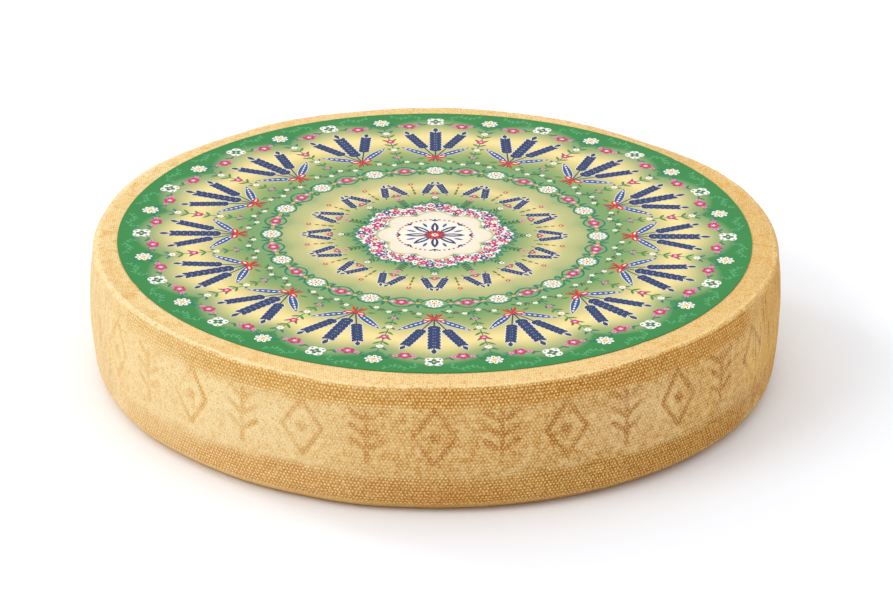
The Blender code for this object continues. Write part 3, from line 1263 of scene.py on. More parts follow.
surface = coated(
    colours["Ground"],
    (freckles, GOLD),
    (remap(grain, 0.66, 0.26) * (on_rim * 0.14 + 0.40), GOLD),
    (remap(speckle, 0.50, 0.66) * (on_rim * 0.20 + 0.50), colours["Pale"]),
    (remap(speckle, 0.47, 0.31) * 0.75, colours["Ochre"]),
    (streak_share * 0.18, colours["Ochre"]),
    (crumbs, colours["Pale"]),
    (cracks * 0.85, CRACK),
    (attribute(tree, "scar") * 0.70, colours["Brown"]),
)
relief = grain * 0.6 + speckle - streak_share * 0.5 - cracks * 0.8
give(shader, {
    "Base Color": surface,
    "Roughness": remap(speckle, 0.3, 0.7, 0.76, 0.64),
    "Normal": bump(relief, 0.55, 0.4 * MM),
})

# %% Material of the beads
tree, shader = empty_material(bead_material, 0.62, 0.20)
where = places_in(tree)
colours = rind_colours(where, 0.0)
least = remap(attribute(tree, "depth"), 0.3, 0.92, 0.60, 0.84)
tone = least + attribute(tree, "tone") * (1.0 - least)
speckle = noise_at(where, 900.0)
surface = coated(
    colours["Ground"],
    (remap(attribute(tree, "rise"), 0.15, 0.85) * tone, colours["Crown"]),
    (remap(speckle, 0.45, 0.30) * 0.3, colours["Ochre"]),
)
give(shader, {"Base Color": surface, "Normal": bump(speckle, 0.3, 0.2 * MM)})
print("rind materials", rind_material.name, bead_material.name)

# %% Ride the rind
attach(rind, "root")
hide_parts("wheel")
for thing in beads:
    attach(thing, "root")

# %% [markdown]
# ## The paper label
# The label is one sheet of thin semi-matt paper, cut round and pasted on by hand. It is turned from an
# outline of its own by the same tree as the rind, then laid a little towards the back, with a very
# slight waviness that the prints share, so that ink and paper never part. A few shallow nicks break
# its edge.

# %% Label sizes and its slight waves
LABEL_RADIUS = 0.2657
LABEL_CENTRE = Vector((-0.0008, 0.0039, 0.0))
LABEL_TOP = float(label_high[2])
LABEL_UNDER = LABEL_TOP - 0.35 * MM
LABEL_BEARINGS = 360
LABEL_WAVE = 0.07 * MM
LABEL_CREASE = math.radians(40.0)
CUT_BULGE = 0.05 * MM
CUT_DROP = 0.06 * MM
CUT_SHAKE = 0.125 * MM
NICKS = ((-51.0, 1.4, 0.9 * MM), (-157.0, 1.8, 0.7 * MM), (38.0, 1.2, 0.8 * MM), (96.0, 2.0, 0.6 * MM))


def let_wave(places):
    """Lifts places a hair, or lowers them, as the paper waves there."""
    x, y = places[:, 0], places[:, 1]
    places[:, 2] += LABEL_WAVE * (np.sin(x * 31.0 + y * 17.0) * np.cos(y * 23.0 - x * 11.0))


def label_profile():
    """The sheet's section as (radius, height): over the top, down the cut edge and back underneath."""
    rows = np.concatenate([np.linspace(0.0, 0.96, 13), [0.985, 0.996, 1.0]]) * LABEL_RADIUS
    cut = LABEL_RADIUS + CUT_BULGE
    top = [(row, LABEL_TOP) for row in rows]
    under = [(row, LABEL_UNDER) for row in rows[::-3]]
    return top + [(cut, LABEL_TOP - CUT_DROP), (cut, LABEL_UNDER)] + under


def lay_label(mesh):
    """Cuts the nicks into the edge, shifts the sheet to its place and lets it wave."""
    places = read_places(mesh)
    bearing, radius = round_axis(places)
    cut = on_stretches(bearing, NICKS) + CUT_SHAKE * np.sin(np.radians(bearing * 5.0 + 40.0))
    near_edge = smooth_share(radius, 0.97 * LABEL_RADIUS, LABEL_RADIUS)
    places[:, :2] *= (1.0 - cut * near_edge / np.maximum(radius, 1e-6))[:, None]
    places += np.array(LABEL_CENTRE)
    let_wave(places)
    write_places(mesh, places)


def map_label(mesh):
    """The sheet as seen from above. The cut edge is laid out just outside it."""
    points, _ = corner_points(mesh)
    flat = read_places(mesh)[points] - np.array([*LABEL_CENTRE.xy, LABEL_TOP])
    reach = np.maximum(round_axis(flat)[1], 1e-6)
    spread = 1.0 + np.clip(-flat[:, 2] - 0.02 * MM, 0.0, 1.0) * 2.0 / reach
    across, up = 0.5 + 0.5 * flat[:, :2].T * spread / (LABEL_RADIUS + 1.4 * MM)
    write_map(mesh, across, up)


paper_material = bpy.data.materials.new("label_paper")
profile = label_profile()
label = add_piece("label_sheet", outline_mesh("label_outline", profile, [row for row, _ in profile]))
add_tree(label, turning, {"Bearings": LABEL_BEARINGS, "Rows": len(profile), "Material": paper_material})
settle(label)
lay_label(label.data)
face_outwards(label.data)
label.data.shade_smooth()
label.data.set_sharp_from_angle(angle=LABEL_CREASE)
map_label(label.data)

# %% [markdown]
# ## Ground colours of the label
# The print's ground is green at the rim and glows gold in two rings, round a cream middle. A colour
# ramp over the distance from the label's middle gives all of it. Folding the bearing into sixteen
# panels, and adding that to the distance, turns the plain rings into rows of arches: the green comes
# in as a rib between each two panels, and the cream middle gets eight lobes.

# %% Ground of the print
PANELS = 16
LOBES = 8
GROUND_STOPS = (
    (0.000, (250, 246, 236)),
    (0.110, (250, 242, 226)),
    (0.176, (248, 230, 204)),
    (0.188, (136, 174, 106)),
    (0.250, (112, 160, 98)),
    (0.310, (178, 186, 120)),
    (0.380, (240, 218, 150)),
    (0.430, (198, 196, 132)),
    (0.470, (184, 188, 128)),
    (0.520, (124, 167, 108)),
    (0.580, (122, 162, 98)),
    (0.630, (158, 174, 106)),
    (0.680, (202, 197, 124)),
    (0.760, (244, 221, 151)),
    (0.800, (250, 227, 154)),
    (0.840, (224, 210, 141)),
    (0.890, (164, 177, 118)),
    (0.925, (130, 164, 106)),
    (0.940, (96, 150, 90)),
    (0.952, (46, 137, 66)),
    (1.000, (42, 134, 63)),
)
ARCHES = (
    (PANELS, 0.72, 0.86, 1.20, 1.30, 0.065),
    (PANELS, 0.52, 0.62, 0.68, 0.78, -0.036),
    (PANELS, 0.38, 0.44, 0.46, 0.52, 0.030),
    (LOBES, -0.20, -0.10, 0.20, 0.27, 0.030),
)
tree, shader = empty_material(paper_material, 0.42, 0.25)
where = places_in(tree)
inputs = {0: where, 1: (*LABEL_CENTRE.xy, 0.0)}
x, y, z = parts_of(signal(tree, "ShaderNodeVectorMath", {"operation": "SUBTRACT"}, inputs))
inputs = {0: vector_of(tree, x, y)}
reach = signal(tree, "ShaderNodeVectorMath", {"operation": "LENGTH"}, inputs, "Value") / LABEL_RADIUS
bearing = y.math("ARCTAN2", x)


def folded(count):
    """0 along the middle of each panel, rising to 1 at the rib between two of them."""
    return 1.0 - (bearing * (0.5 * count)).math("COSINE").math("ABSOLUTE")


arched = reach
for count, first, full, last, gone, amount in ARCHES:
    zone = remap(reach, first, full) * remap(reach, gone, last)
    arched = arched + folded(count) * zone * amount
ramp = place(tree, "ShaderNodeValToRGB", None, {0: arched})
stops = ramp.color_ramp.elements
stops.remove(stops[1])
stops[0].position = GROUND_STOPS[0][0]
stops[0].color = paint(*GROUND_STOPS[0][1])
for position, colour in GROUND_STOPS[1:]:
    stops.new(position).color = paint(*colour)
print("label ground", len(stops), "stops")

# %% Paper material
fibres = noise_at(where, 900.0, 3.0, 0.7)
tone = remap(fibres, 0.3, 0.7, 0.965, 1.035) - mottled(where, 0.03) * 0.03
inputs = {"Value": tone, "Color": Signal(ramp.outputs["Color"])}
give(shader, {
    "Base Color": signal(tree, "ShaderNodeHueSaturation", None, inputs),
    "Roughness": remap(fibres, 0.3, 0.7, 0.38, 0.47),
    "Normal": bump(fibres, 0.25, 0.1 * MM),
})

# %% [markdown]
# ## Printed motifs
# A print is flat shapes of single inks, so each motif is drawn once as a few outlines in millimetres:
# petals, discs, strokes. Every outline becomes faces that carry their ink as a colour attribute, a hair
# above the shapes they overlap. The motifs are common harvest and meadow ornaments: sheaves, festoons,
# a twisted band with flowers in its eyes, a lobed wreath with sprigs and a star. A motif's +Y points
# away from the middle of the label.

# %% Inks and outlines
NAVY = paint(30, 54, 104)
BLUE = paint(44, 80, 150)
MAGENTA = paint(208, 22, 106)
PINK = paint(240, 146, 186)
TEAL = paint(20, 122, 100)
LEAF = paint(64, 138, 72)
MINT = paint(88, 174, 112)
MOSS = paint(40, 108, 66)
OLIVE = paint(104, 122, 54)
PLUM = paint(84, 44, 124)
RED = paint(214, 44, 32)
WHITE = paint(250, 246, 236)
YOLK = paint(244, 200, 84)
INKS = (NAVY, BLUE, MAGENTA, PINK, TEAL, LEAF, MINT, MOSS, OLIVE, PLUM, RED, WHITE, YOLK)
HERE = (0.0, 0.0)
BOTH_SIDES = (-1, 1)


def turned_by(points, degrees, at=HERE):
    """Outline points turned about the origin and moved."""
    angle = math.radians(degrees)
    cos, sin = math.cos(angle), math.sin(angle)
    return [(x * cos - y * sin + at[0], x * sin + y * cos + at[1]) for x, y in points]


def disc(radius, at=HERE, sides=14):
    turns = [2.0 * math.pi / sides * i for i in range(sides)]
    return [(at[0] + radius * math.cos(turn), at[1] + radius * math.sin(turn)) for turn in turns]


def leaf(length, width, degrees=0.0, at=HERE, steps=5, fullness=0.5):
    """A pointed leaf that starts at a place and points along +Y before it is turned."""
    half = []
    for i in range(steps + 1):
        share = i / steps
        swell = math.sin(math.pi * share ** (2.0 * fullness)) ** 0.8
        half.append((0.5 * width * swell, length * share))
    return turned_by(half + [(-x, y) for x, y in half[-2:0:-1]], degrees, at)


def lobes(count, outer, inner, at=HERE, degrees=0.0, steps=6):
    """A flower outline with round lobes, outer and inner being its two radii."""
    points = []
    for i in range(count * steps):
        angle = 2.0 * math.pi * i / (count * steps)
        radius = inner + (outer - inner) * abs(math.cos(0.5 * count * angle)) ** 0.7
        points.append((radius * math.sin(angle), radius * math.cos(angle)))
    return turned_by(points, degrees, at)


def beside(points, i, before, after, half):
    """A point moved by half to the right of the way from the point before it to the one after."""
    run = (points[after][0] - points[before][0], points[after][1] - points[before][1])
    length = max(math.hypot(*run), 1e-9)
    return (points[i][0] + run[1] / length * half, points[i][1] - run[0] / length * half)


def stroke(points, width, taper=0.0):
    """A line of some width along points, as a closed outline. Taper thins its two ends."""
    last = len(points) - 1
    sides = ([], [])
    for i in range(last + 1):
        half = 0.5 * width * (1.0 - taper * (2.0 * i / last - 1.0) ** 2)
        for side, sign in zip(sides, BOTH_SIDES):
            side.append(beside(points, i, max(i - 1, 0), min(i + 1, last), sign * half))
    return sides[0] + sides[1][::-1]


def grown(points, by):
    """An outline made wider all round, for the pale edge under a dark ink."""
    area = sum(a[0] * b[1] - b[0] * a[1] for a, b in zip(points, points[1:] + points[:1]))
    points = points if area > 0.0 else points[::-1]
    return [beside(points, i, i - 1, (i + 1) % len(points), by) for i in range(len(points))]


# %% Mesh of a motif
INK_LAYER = 0.032 * MM
SQUARES_IN_ROW = 4
SQUARE = 1.0 / SQUARES_IN_ROW
SQUARE_MARGIN = 0.02


def anticlockwise(points):
    """The same outline in the order that makes its face look up."""
    return grown(points, 0.0)


def motif_mesh(name, shapes):
    """A flat mesh of (outline in millimetres, ink, layer). It stays out of the scene itself. In its
    map every ink has a square of its own, four in a row, in which the motif lies as drawn."""
    shape = bmesh.new()
    ink_layer = shape.verts.layers.float_color.new("ink")
    map_layer = shape.loops.layers.uv.new(MAP_NAME)
    drawn = np.concatenate([np.array(points) for points, _, _ in shapes])
    low = drawn.min(axis=0)
    scale = (SQUARE - 2.0 * SQUARE_MARGIN) / max(drawn.max(axis=0) - low)
    for points, ink, layer in shapes:
        corners = []
        for x, y in anticlockwise(list(points)):
            corners.append(shape.verts.new((x * MM, y * MM, (layer + 1) * INK_LAYER)))
            corners[-1][ink_layer] = ink
        row, column = divmod(INKS.index(ink), SQUARES_IN_ROW)
        for loop in shape.faces.new(corners).loops:
            x, y = loop.vert.co.xy / MM - Vector(low)
            start = (SQUARE * column + SQUARE_MARGIN, SQUARE * row + SQUARE_MARGIN)
            loop[map_layer].uv = (start[0] + x * scale, start[1] + y * scale)
    shape.normal_update()
    bmesh.ops.triangulate(shape, faces=shape.faces)
    mesh = bpy.data.meshes.new(name)
    shape.to_mesh(mesh)
    shape.free()
    return bpy.data.objects.new(name, mesh)


# %% Flowers and ears
def polar(radius, degrees, base):
    """A place by its radius and bearing round the label's middle, for a motif that stands at base."""
    angle = math.radians(degrees)
    return (radius * math.sin(angle), radius * math.cos(angle) - base)


def turned_shapes(shapes, degrees, at=HERE):
    return [(turned_by(points, degrees, at), ink, layer) for points, ink, layer in shapes]


def rays(count, length, width, start):
    """A ring of narrow navy leaves, as on the petals of a daisy."""
    ray = leaf(length, width, 0.0, (0.0, start), 3)
    return [(turned_by(ray, 360.0 / count * i), NAVY, 3) for i in range(count)]


def flower(size, at, ink, heart, petals=5, layer=1):
    petal_outline = lobes(petals, size, size * 0.62, at, 20.0 * at[0])
    return [(petal_outline, ink, layer), (disc(size * 0.32, at, 8), heart, layer + 1)]


def blossom(size, at, layer=1):
    """A magenta flower with a pink ring and a white heart."""
    return [
        (lobes(5, size, size * 0.66, at), MAGENTA, layer),
        (lobes(5, size * 0.5, size * 0.28, at, 0.0, 4), PINK, layer + 1),
        (disc(size * 0.2, at, 8), WHITE, layer + 2),
    ]


def seeded_leaf(length, width, seeds, degrees, at):
    """A slim blue leaf with a pale edge and a row of white seeds in it."""
    blade = leaf(length, width, steps=9, fullness=0.42)
    shapes = [(grown(blade, 0.5), WHITE, 0), (blade, BLUE, 1)]
    for seed in range(seeds):
        foot = length * (0.14 + 0.78 * seed / seeds)
        shapes.append((leaf(0.62 * length / seeds, 0.27 * width, 0.0, (0.0, foot), 3), WHITE, 2))
    return turned_shapes(shapes, degrees, at)


def grain_ear(start, length, half_width, pairs, degrees=0.0, at=HERE):
    """An ear on its stalk: slanted grains in pairs and one at the tip, all with a pale edge."""
    grain = length / (pairs + 1.6)
    width = half_width * 0.62
    outlines = [leaf(grain * 1.7, width, 0.0, (0.0, start + length * 0.84))]
    for pair in range(pairs):
        foot = start + pair * (length * 0.82 / pairs)
        for side in BOTH_SIDES:
            outlines.append(leaf(grain * 1.55, width, -36.0 * side, (0.25 * side, foot)))
    stalk = stroke([HERE, (0.0, start + length * 0.86)], 0.16 * half_width)
    shapes = [(outline, NAVY, 2) for outline in outlines + [stalk]]
    shapes += [(grown(outline, 0.55), WHITE, 1) for outline in outlines]
    return turned_shapes(shapes, degrees, at)


# %% Motifs of the wide gold ring and the rim
SHEAF_RING = 166.0
RIB_RING = 154.0
FESTOON_RING = 246.0
HALF_PANEL = 180.0 / PANELS


def sheaf():
    """Three ears fanned out above a red bow, between two seeded leaves."""
    shapes = grain_ear(13.0, 52.0, 7.4, 8) + [(disc(1.9, (0.0, 0.6), 10), RED, 4)]
    for side in BOTH_SIDES:
        shapes += grain_ear(22.0, 40.0, 6.8, 7, -25.0 * side)
        shapes += seeded_leaf(35.0, 7.0, 6, -54.0 * side, (2.0 * side, 1.5))
        shapes += [
            (leaf(10.5, 6.0, -78.0 * side, (0.0, 0.6)), RED, 3),
            (leaf(6.0, 1.8, -78.0 * side, (2.6 * side, 1.1), 3), WHITE, 4),
            (leaf(12.0, 2.8, -146.0 * side, HERE), RED, 3),
            (stroke([HERE, (2.2 * side, -9.0)], 0.8), NAVY, 2),
            (leaf(8.0, 2.6, -112.0 * side, (9.0 * side, -1.5)), LEAF, 0),
        ]
    return shapes


def rib_spray():
    """A climbing stem between two panels, with leaves in pairs and flowers that grow outwards."""
    shapes = [(stroke([(0.0, y) for y in range(0, 89, 8)], 1.0, 0.3), TEAL, 0)]
    for i in range(9):
        for side in BOTH_SIDES:
            blade = leaf(6.4 + 0.5 * i, 2.5, -48.0 * side, (0.0, 2.0 + 9.4 * i))
            shapes.append((blade, TEAL if i % 2 else LEAF, 1))
    shapes += flower(2.4, (0.0, 14.0), PINK, MAGENTA, 5, 2)
    shapes += flower(3.2, (0.0, 31.0), WHITE, YOLK, 6, 2)
    shapes += blossom(4.2, (0.0, 50.0), 2)
    return shapes + flower(3.4, (0.0, 68.0), WHITE, YOLK, 6, 2)


def curls(side):
    """Pale green tendrils that fill the rim outside a bow: a low vine with leaves to both sides."""
    vine = []
    for turn in np.linspace(2.6, 8.9, 15):
        rise = 257.0 + 2.2 * math.sin(math.radians(95.0 * turn))
        vine.append(polar(rise, side * turn, FESTOON_RING))
    outlines = [stroke(vine, 0.9, 0.5)]
    for i in range(1, 14, 2):
        for lean, size in ((-38.0, 4.4), (-142.0, 3.6)):
            outlines.append(leaf(size, 1.7, (lean - 6.0 * (i % 4)) * side, vine[i], 4))
    return outlines + [disc(1.3, polar(250.5, side * 3.4, FESTOON_RING), 8)]


def festoon():
    """A white quatrefoil at the crown of a panel and two bows that hang from it to the ribs."""
    shapes = [(lobes(4, 8.6, 5.8, degrees=45.0, steps=8), WHITE, 2)]
    shapes.append((lobes(4, 5.0, 1.5, steps=7), TEAL, 3))
    shapes += [(disc(0.9, (4.7 * sx, 4.7 * sy), 8), NAVY, 3) for sx in BOTH_SIDES for sy in BOTH_SIDES]
    shapes.append((disc(1.3, sides=10), YOLK, 4))
    for side in BOTH_SIDES:
        bow = []
        for i in range(13):
            rise = FESTOON_RING - 10.0 * math.sin(math.pi * i / 12)
            bow.append(polar(rise, side * HALF_PANEL * i / 12, FESTOON_RING))
        shapes.append((stroke(bow, 1.0), TEAL, 0))
        for i, at in enumerate(bow[2:-1]):
            lean = (-50.0 if i % 2 else -118.0) * side
            shapes.append((leaf(6.2, 2.3, lean, at, 4), TEAL if i % 3 else LEAF, 1))
        shapes += blossom(5.6, bow[6], 2)
        for i in (4, 8):
            shapes += flower(2.6, bow[i], PINK, MAGENTA, 5, 2)
        shapes += [(outline, MINT, 0) for outline in curls(side)]
    return shapes


def rib_daisy():
    return flower(7.4, HERE, WHITE, YOLK, 8, 2) + rays(8, 3.0, 0.9, 2.9)


# %% Motifs of the twisted band and the narrow gold ring
BAND_RING = 137.0
VINE_RING = 154.5
EARS_RING = 85.0
DROPS_RING = 86.0


def twist():
    """One panel of two strands that cross, with a daisy in one eye and a blossom in the next."""
    shapes = []
    for side in BOTH_SIDES:
        strand = []
        for turn in np.linspace(-HALF_PANEL, HALF_PANEL, 25):
            rise = BAND_RING + 9.0 * side * math.cos(math.radians(PANELS * turn))
            strand.append(polar(rise, turn, BAND_RING))
        shapes.append((stroke(strand, 1.5), TEAL, 0 if side < 0 else 1))
        for i in (3, 8, 16, 21):
            lean = (0.0 if side > 0 else 180.0) + (38.0 if i in (3, 16) else -38.0)
            shapes.append((leaf(6.0, 2.4, lean, strand[i], 4), LEAF, 0))
        crossing = polar(BAND_RING, 0.5 * HALF_PANEL * side, BAND_RING)
        shapes += [(leaf(9.5, 3.0, lean, crossing, 4), TEAL, 1) for lean in (0.0, 180.0)]
        shapes += flower(2.0, crossing, YOLK, RED, 5, 2)
    shapes += [(lobes(9, 7.6, 5.6), WHITE, 2)] + rays(9, 3.2, 1.0, 2.6)
    shapes += flower(2.2, HERE, YOLK, MAGENTA, 6, 3)
    between = polar(BAND_RING, HALF_PANEL, BAND_RING)
    shapes += blossom(5.4, between, 2)
    for side in BOTH_SIDES:
        shapes += flower(2.5, (between[0] + 7.4 * side, between[1] - 1.4 * side), PINK, WHITE, 5, 2)
    return shapes


def vine():
    """A wavy vine from one sheaf's foot to the next, with leaves and small flowers on its bends."""
    stem = []
    for turn in np.linspace(-8.6, 8.6, 33):
        rise = VINE_RING + 2.0 * math.sin(math.radians(40.0 * turn))
        stem.append(polar(rise, turn, VINE_RING))
    shapes = [(stroke(stem, 0.8, 0.3), MOSS, 0)]
    for i in range(1, 32, 2):
        lean = -46.0 if i % 4 == 1 else -134.0
        shapes.append((leaf(4.6, 1.9, lean, stem[i], 4), MOSS if i % 3 else MINT, 1))
    for turn, rise in ((-6.75, 2.6), (-2.25, -2.6), (2.25, 2.6), (6.75, -2.6)):
        shapes += flower(2.5, polar(VINE_RING + rise, turn, VINE_RING), WHITE, YOLK, 5, 2)
    for turn, rise in ((-4.5, 2.2), (0.0, -3.2), (4.5, 2.2)):
        shapes.append((disc(1.0, polar(VINE_RING + rise, turn, VINE_RING), 8), MAGENTA, 2))
    return shapes


def leaning_ears():
    """Two small ears that lean together over a blossom."""
    shapes = blossom(3.0, (0.0, 3.0), 2)
    for side in BOTH_SIDES:
        shapes += grain_ear(4.0, 25.0, 4.4, 6, 17.0 * side, (10.5 * side, -2.0))
        shapes.append((leaf(4.6, 1.8, -62.0 * side, (1.4 * side, 0.6), 4), TEAL, 1))
    return shapes


def drop_row():
    shapes = [(leaf(6.5 - i, 2.5 - 0.3 * i, 0.0, (0.0, 6.5 * i), 4), OLIVE, 1) for i in range(3)]
    return shapes + flower(2.3, (0.0, 22.5), RED, WHITE, 5, 1)


# %% Motifs of the wreath and the middle
WREATH_RADIUS = 58.0
WREATH_FLOWERS = (
    (-22.5, 1.0, 4.8, MAGENTA, WHITE, 5),
    (-21.5, -6.0, 2.2, PLUM, WHITE, 5),
    (-17.6, 5.4, 2.6, PLUM, WHITE, 5),
    (-16.6, -3.2, 3.4, WHITE, YOLK, 6),
    (-12.6, 1.6, 3.4, MAGENTA, PINK, 5),
    (-11.0, -5.4, 2.5, RED, YOLK, 5),
    (-8.4, 6.2, 2.4, TEAL, WHITE, 4),
    (-7.2, -2.0, 2.6, PLUM, WHITE, 5),
    (-3.4, 3.8, 3.0, MAGENTA, WHITE, 5),
    (-3.0, -5.6, 3.0, MAGENTA, YOLK, 6),
    (0.6, -0.6, 2.2, NAVY, WHITE, 4),
    (3.6, 4.4, 4.2, PLUM, WHITE, 12),
    (4.6, -4.2, 2.6, PLUM, WHITE, 5),
    (9.2, 0.4, 3.9, MAGENTA, PINK, 5),
    (10.4, -6.2, 2.0, TEAL, WHITE, 4),
    (12.2, 6.4, 2.2, RED, YOLK, 5),
    (15.0, -3.6, 3.2, MAGENTA, WHITE, 5),
    (16.6, 3.2, 3.8, WHITE, YOLK, 6),
    (20.4, -5.0, 2.0, NAVY, WHITE, 4),
)


def on_lobe(degrees, out):
    """A place on the eight-lobed line of the wreath, moved outwards by some millimetres."""
    fold = 1.0 - abs(math.cos(math.radians(0.5 * LOBES * degrees)))
    return polar(WREATH_RADIUS - 7.0 * fold + 0.92 * out, degrees, 0.0)


def sprig(turn, start, end, ink):
    """A leafy stem that points away from the wreath, with a small flower on it."""
    shapes = [(stroke([polar(start, turn, 0.0), polar(end, turn, 0.0)], 0.8), MOSS, 0)]
    for rise in np.arange(start + 1.0, end - 3.0, 3.6):
        for lean in (-44.0, 44.0):
            shapes.append((leaf(5.4, 1.9, lean - turn, polar(rise, turn, 0.0), 4), MOSS, 0.5))
    return shapes + flower(2.7, polar(end, turn, 0.0), ink, RED, 5, 2)


def wreath_lobe():
    """One lobe of the wreath: flowers of several sizes packed on a pale ground among leaves. Each is
    (bearing, place outwards, size, ink, heart, petals)."""
    shapes = [(lobes(6, 8.6, 7.2, on_lobe(-20.0 + 8.0 * i, 0.0)), WHITE, 0) for i in range(6)]
    for i in range(7):
        turn = -20.0 + 6.6 * i
        for lean in (-30.0, 30.0):
            shapes.append((leaf(7.0 + 2.0 * (i % 2), 2.0, lean - turn, on_lobe(turn, 7.4)), TEAL, 0.5))
    shapes += sprig(22.5, 62.0, 80.0, PINK) + sprig(0.0, 70.0, 78.5, WHITE)
    for turn, out, size, ink, heart, petals in WREATH_FLOWERS:
        shapes += flower(size, on_lobe(turn, out), ink, heart, petals, 2)
        if ink == WHITE:
            shapes.append((lobes(12, size + 0.8, size * 0.8, on_lobe(turn, out)), PLUM, 1))
    return shapes


def middle_star():
    """An eight-pointed star of leaves in a ring of beads."""
    point = [
        (leaf(21.0, 6.4, 0.0, (0.0, 4.6), 7), NAVY, 1),
        (leaf(13.0, 1.9, 0.0, (0.0, 8.0), 5), WHITE, 2),
        (leaf(10.0, 3.6, -22.5, HERE), RED, 1),
        (leaf(9.0, 2.6, -22.5, polar(17.0, 22.5, 0.0)), BLUE, 1),
    ]
    point += [(leaf(5.2, 1.7, lean, (0.0, 28.4), 4), NAVY, 1) for lean in (-44.0, 44.0, 0.0)]
    for turn in (-15.0, -7.5, 7.5, 15.0, 22.5):
        point.append((disc(1.05, polar(31.5, turn, 0.0), 8), RED if turn < 20.0 else NAVY, 2))
    shapes = [(disc(4.6, sides=18), RED, 3), (disc(1.2, sides=10), RED, 5)]
    shapes.append((lobes(8, 3.4, 1.9, steps=4), WHITE, 4))
    for i in range(8):
        shapes += turned_shapes(point, 45.0 * i)
    return shapes


# %% [markdown]
# ## Laying the motifs in rings
# On a round label everything repeats round the middle. One tree does it for every ring: it puts points
# on a circle, stands a copy of the motif on each, turned to face outwards, and adds them to what the
# modifiers before it have made. An object gets one such modifier for each ring that it shows.

# %% Tree that lays a ring of motifs
ringing, given = geometry_tree(
    "ring_of_motifs",
    ("Motif", "Object"),
    ("Count", "Int", 12),
    ("Radius", "Float", 0.1),
    ("First bearing", "Float", 0.0),
    ("Centre", "Vector"),
)
index = signal(ringing, "GeometryNodeInputIndex")
bearing = index / given["Count"] * (2.0 * math.pi) + given["First bearing"]
ring_x = bearing.math("COSINE") * given["Radius"]
ring_y = bearing.math("SINE") * given["Radius"]
inputs = {0: vector_of(ringing, ring_x, ring_y), 1: given["Centre"]}
on_ring = signal(ringing, "ShaderNodeVectorMath", {"operation": "ADD"}, inputs)
dots = signal(ringing, "GeometryNodePoints", None, {"Count": given["Count"], "Position": on_ring})
motif = signal(
    ringing,
    "GeometryNodeObjectInfo",
    {"transform_space": "ORIGINAL"},
    {"Object": given["Motif"]},
    "Geometry",
)
facing_out = vector_of(ringing, z=bearing - 0.5 * math.pi)
inputs = {"Points": dots, "Instance": motif, "Rotation": facing_out}
standing = signal(ringing, "GeometryNodeInstanceOnPoints", None, inputs)
joined = place(ringing, "GeometryNodeJoinGeometry", None, {0: standing})
give(joined, {0: given["Geometry"]})
end_tree(ringing, Signal(joined.outputs[0]), given["Material"], smooth=False)

# %% Print the rings
ink_material = bpy.data.materials.new("label_inks")
tree, shader = empty_material(ink_material, 0.40, 0.25)
fibres = noise_at(places_in(tree), 900.0, 3.0, 0.7)
ink = signal(tree, "ShaderNodeAttribute", {"attribute_name": "ink"}, None, "Color")
inputs = {"Value": remap(fibres, 0.3, 0.7, 0.93, 1.05), "Color": ink}
give(shader, {
    "Base Color": signal(tree, "ShaderNodeHueSaturation", None, inputs),
    "Roughness": remap(fibres, 0.3, 0.7, 0.34, 0.44),
})


def print_rings(name, *rings):
    """A piece with one ring of motifs for each (motif shapes, count, radius mm, first bearing)."""
    thing = add_piece(name, bpy.data.meshes.new(name))
    centre = (LABEL_CENTRE.x, LABEL_CENTRE.y, LABEL_TOP)
    motifs = []
    for number, (shapes, count, radius, first) in enumerate(rings):
        motif = motif_mesh(name + "_motif_" + str(number), shapes)
        motifs.append(motif)
        sizes = {"Count": count, "Radius": radius * MM, "First bearing": math.radians(first)}
        add_tree(thing, ringing, {"Motif": motif, "Centre": centre, "Material": ink_material, **sizes})
    settle(thing)
    places = read_places(thing.data)
    let_wave(places)
    write_places(thing.data, places)
    for motif in motifs:
        bpy.data.objects.remove(motif, do_unlink=True)
    return thing


FRONT = -90.0
RIB = FRONT + HALF_PANEL
prints = [
    print_rings("print_sheaves", (sheaf(), PANELS, SHEAF_RING, FRONT)),
    print_rings(
        "print_ribs",
        (rib_spray(), PANELS, RIB_RING, RIB),
        (rib_daisy(), PANELS, FESTOON_RING, RIB),
    ),
    print_rings("print_festoons", (festoon(), PANELS, FESTOON_RING, FRONT)),
    print_rings(
        "print_twisted_band",
        (twist(), PANELS, BAND_RING, FRONT),
        (vine(), PANELS, VINE_RING, RIB),
    ),
    print_rings(
        "print_leaning_ears",
        (leaning_ears(), PANELS, EARS_RING, FRONT),
        (drop_row(), PANELS, DROPS_RING, RIB),
    ),
    print_rings("print_wreath", (wreath_lobe(), LOBES, 0.0, FRONT)),
    print_rings("print_middle_star", (middle_star(), 1, 0.0, -FRONT)),
]
for thing in [label] + prints:
    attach(thing, "root")
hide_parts("label")

# %% [markdown]
# ## Camera, light and floor
# The camera stands well back with a long lens, as the photograph was taken. Two broad lamps shine from
# the left, one from the front and one from the back, on a white floor in a pale room. Together they
# give the soft shadow at the right and leave the left edge bright. Sun lamps are used because their
# light is equal all over the floor, so the floor stays one plain tone.

# %% Camera
CAMERA_PLACE = Vector((0.0, -3.530, 1.692))
LOOK_DOWN = math.radians(24.844)
LOOK_RIGHT = math.radians(0.152)
ROLL = math.radians(0.44)
LENS = 186.04
SENSOR = 36.0


def camera_turn():
    """The camera's turn, from how far it looks down and right and how it rolls."""
    ahead = Vector((
        math.sin(LOOK_RIGHT) * math.cos(LOOK_DOWN),
        math.cos(LOOK_RIGHT) * math.cos(LOOK_DOWN),
        -math.sin(LOOK_DOWN),
    ))
    right = ahead.cross(Vector((0.0, 0.0, 1.0))).normalized()
    up = right.cross(ahead)
    level_right = math.cos(ROLL) * right + math.sin(ROLL) * up
    level_up = math.cos(ROLL) * up - math.sin(ROLL) * right
    return Matrix((level_right, level_up, -ahead)).transposed().to_quaternion()


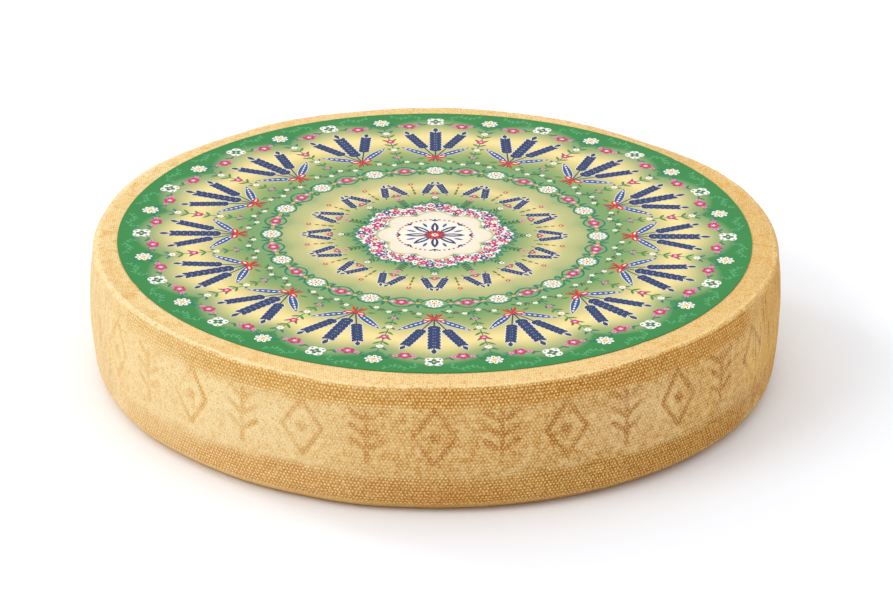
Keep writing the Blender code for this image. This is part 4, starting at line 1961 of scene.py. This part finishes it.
camera = bpy.data.objects.new("camera", bpy.data.cameras.new("camera"))
bpy.context.scene.collection.objects.link(camera)
camera.location = CAMERA_PLACE
camera.rotation_mode = "QUATERNION"
camera.rotation_quaternion = camera_turn()
camera.data.lens = LENS
camera.data.sensor_width = SENSOR
bpy.context.scene.camera = camera
print("camera", round(CAMERA_PLACE.length, 2), "m away")

# %% Floor
FLOOR_HALF = 8.0
FLOOR_WHITE = (0.928, 0.952, 0.998, 1.0)
floor_mesh = bpy.data.meshes.new("floor")
turns = ((-1, -1), (1, -1), (1, 1), (-1, 1))
floor_mesh.from_pydata([(FLOOR_HALF * x, FLOOR_HALF * y, 0.0) for x, y in turns], [], [(0, 1, 2, 3)])
floor = add_piece("floor", floor_mesh)
floor_material = bpy.data.materials.new("floor")
tree, shader = empty_material(floor_material, 0.9, 0.0)
give(shader, {"Base Color": FLOOR_WHITE})
floor_mesh.materials.append(floor_material)

# %% Lamps and room
LIGHT_AT_HORIZON = 0.345
LIGHT_OVERHEAD = 1.245


def add_lamp(name, towards, softness, strength):
    """A broad lamp far off in one direction, whose light is equal all over the floor."""
    lamp = bpy.data.objects.new(name, bpy.data.lights.new(name, "SUN"))
    bpy.context.scene.collection.objects.link(lamp)
    lamp.data.angle = math.radians(softness)
    lamp.data.energy = strength
    lamp.location = towards
    lamp.rotation_mode = "QUATERNION"
    lamp.rotation_quaternion = (-Vector(towards)).to_track_quat("-Z", "Y")
    print(name, "strength", strength)


add_lamp("front_lamp", (-0.708, -0.345, 0.616), 30.0, 0.77)
add_lamp("back_lamp", (-0.708, 0.553, 0.438), 14.0, 0.64)
world = bpy.data.worlds.new("room")
bpy.context.scene.world = world
world.use_nodes = True
room = world.node_tree
x, y, z = parts_of(signal(room, "ShaderNodeTexCoord", None, None, "Generated"))
inputs = {"Value": z, "To Min": LIGHT_AT_HORIZON, "To Max": LIGHT_OVERHEAD}
strength = signal(room, "ShaderNodeMapRange", None, inputs)
give(room.nodes["Background"], {"Color": (1.0, 1.0, 1.0, 1.0), "Strength": strength})
bpy.context.scene.view_settings.view_transform = "Standard"
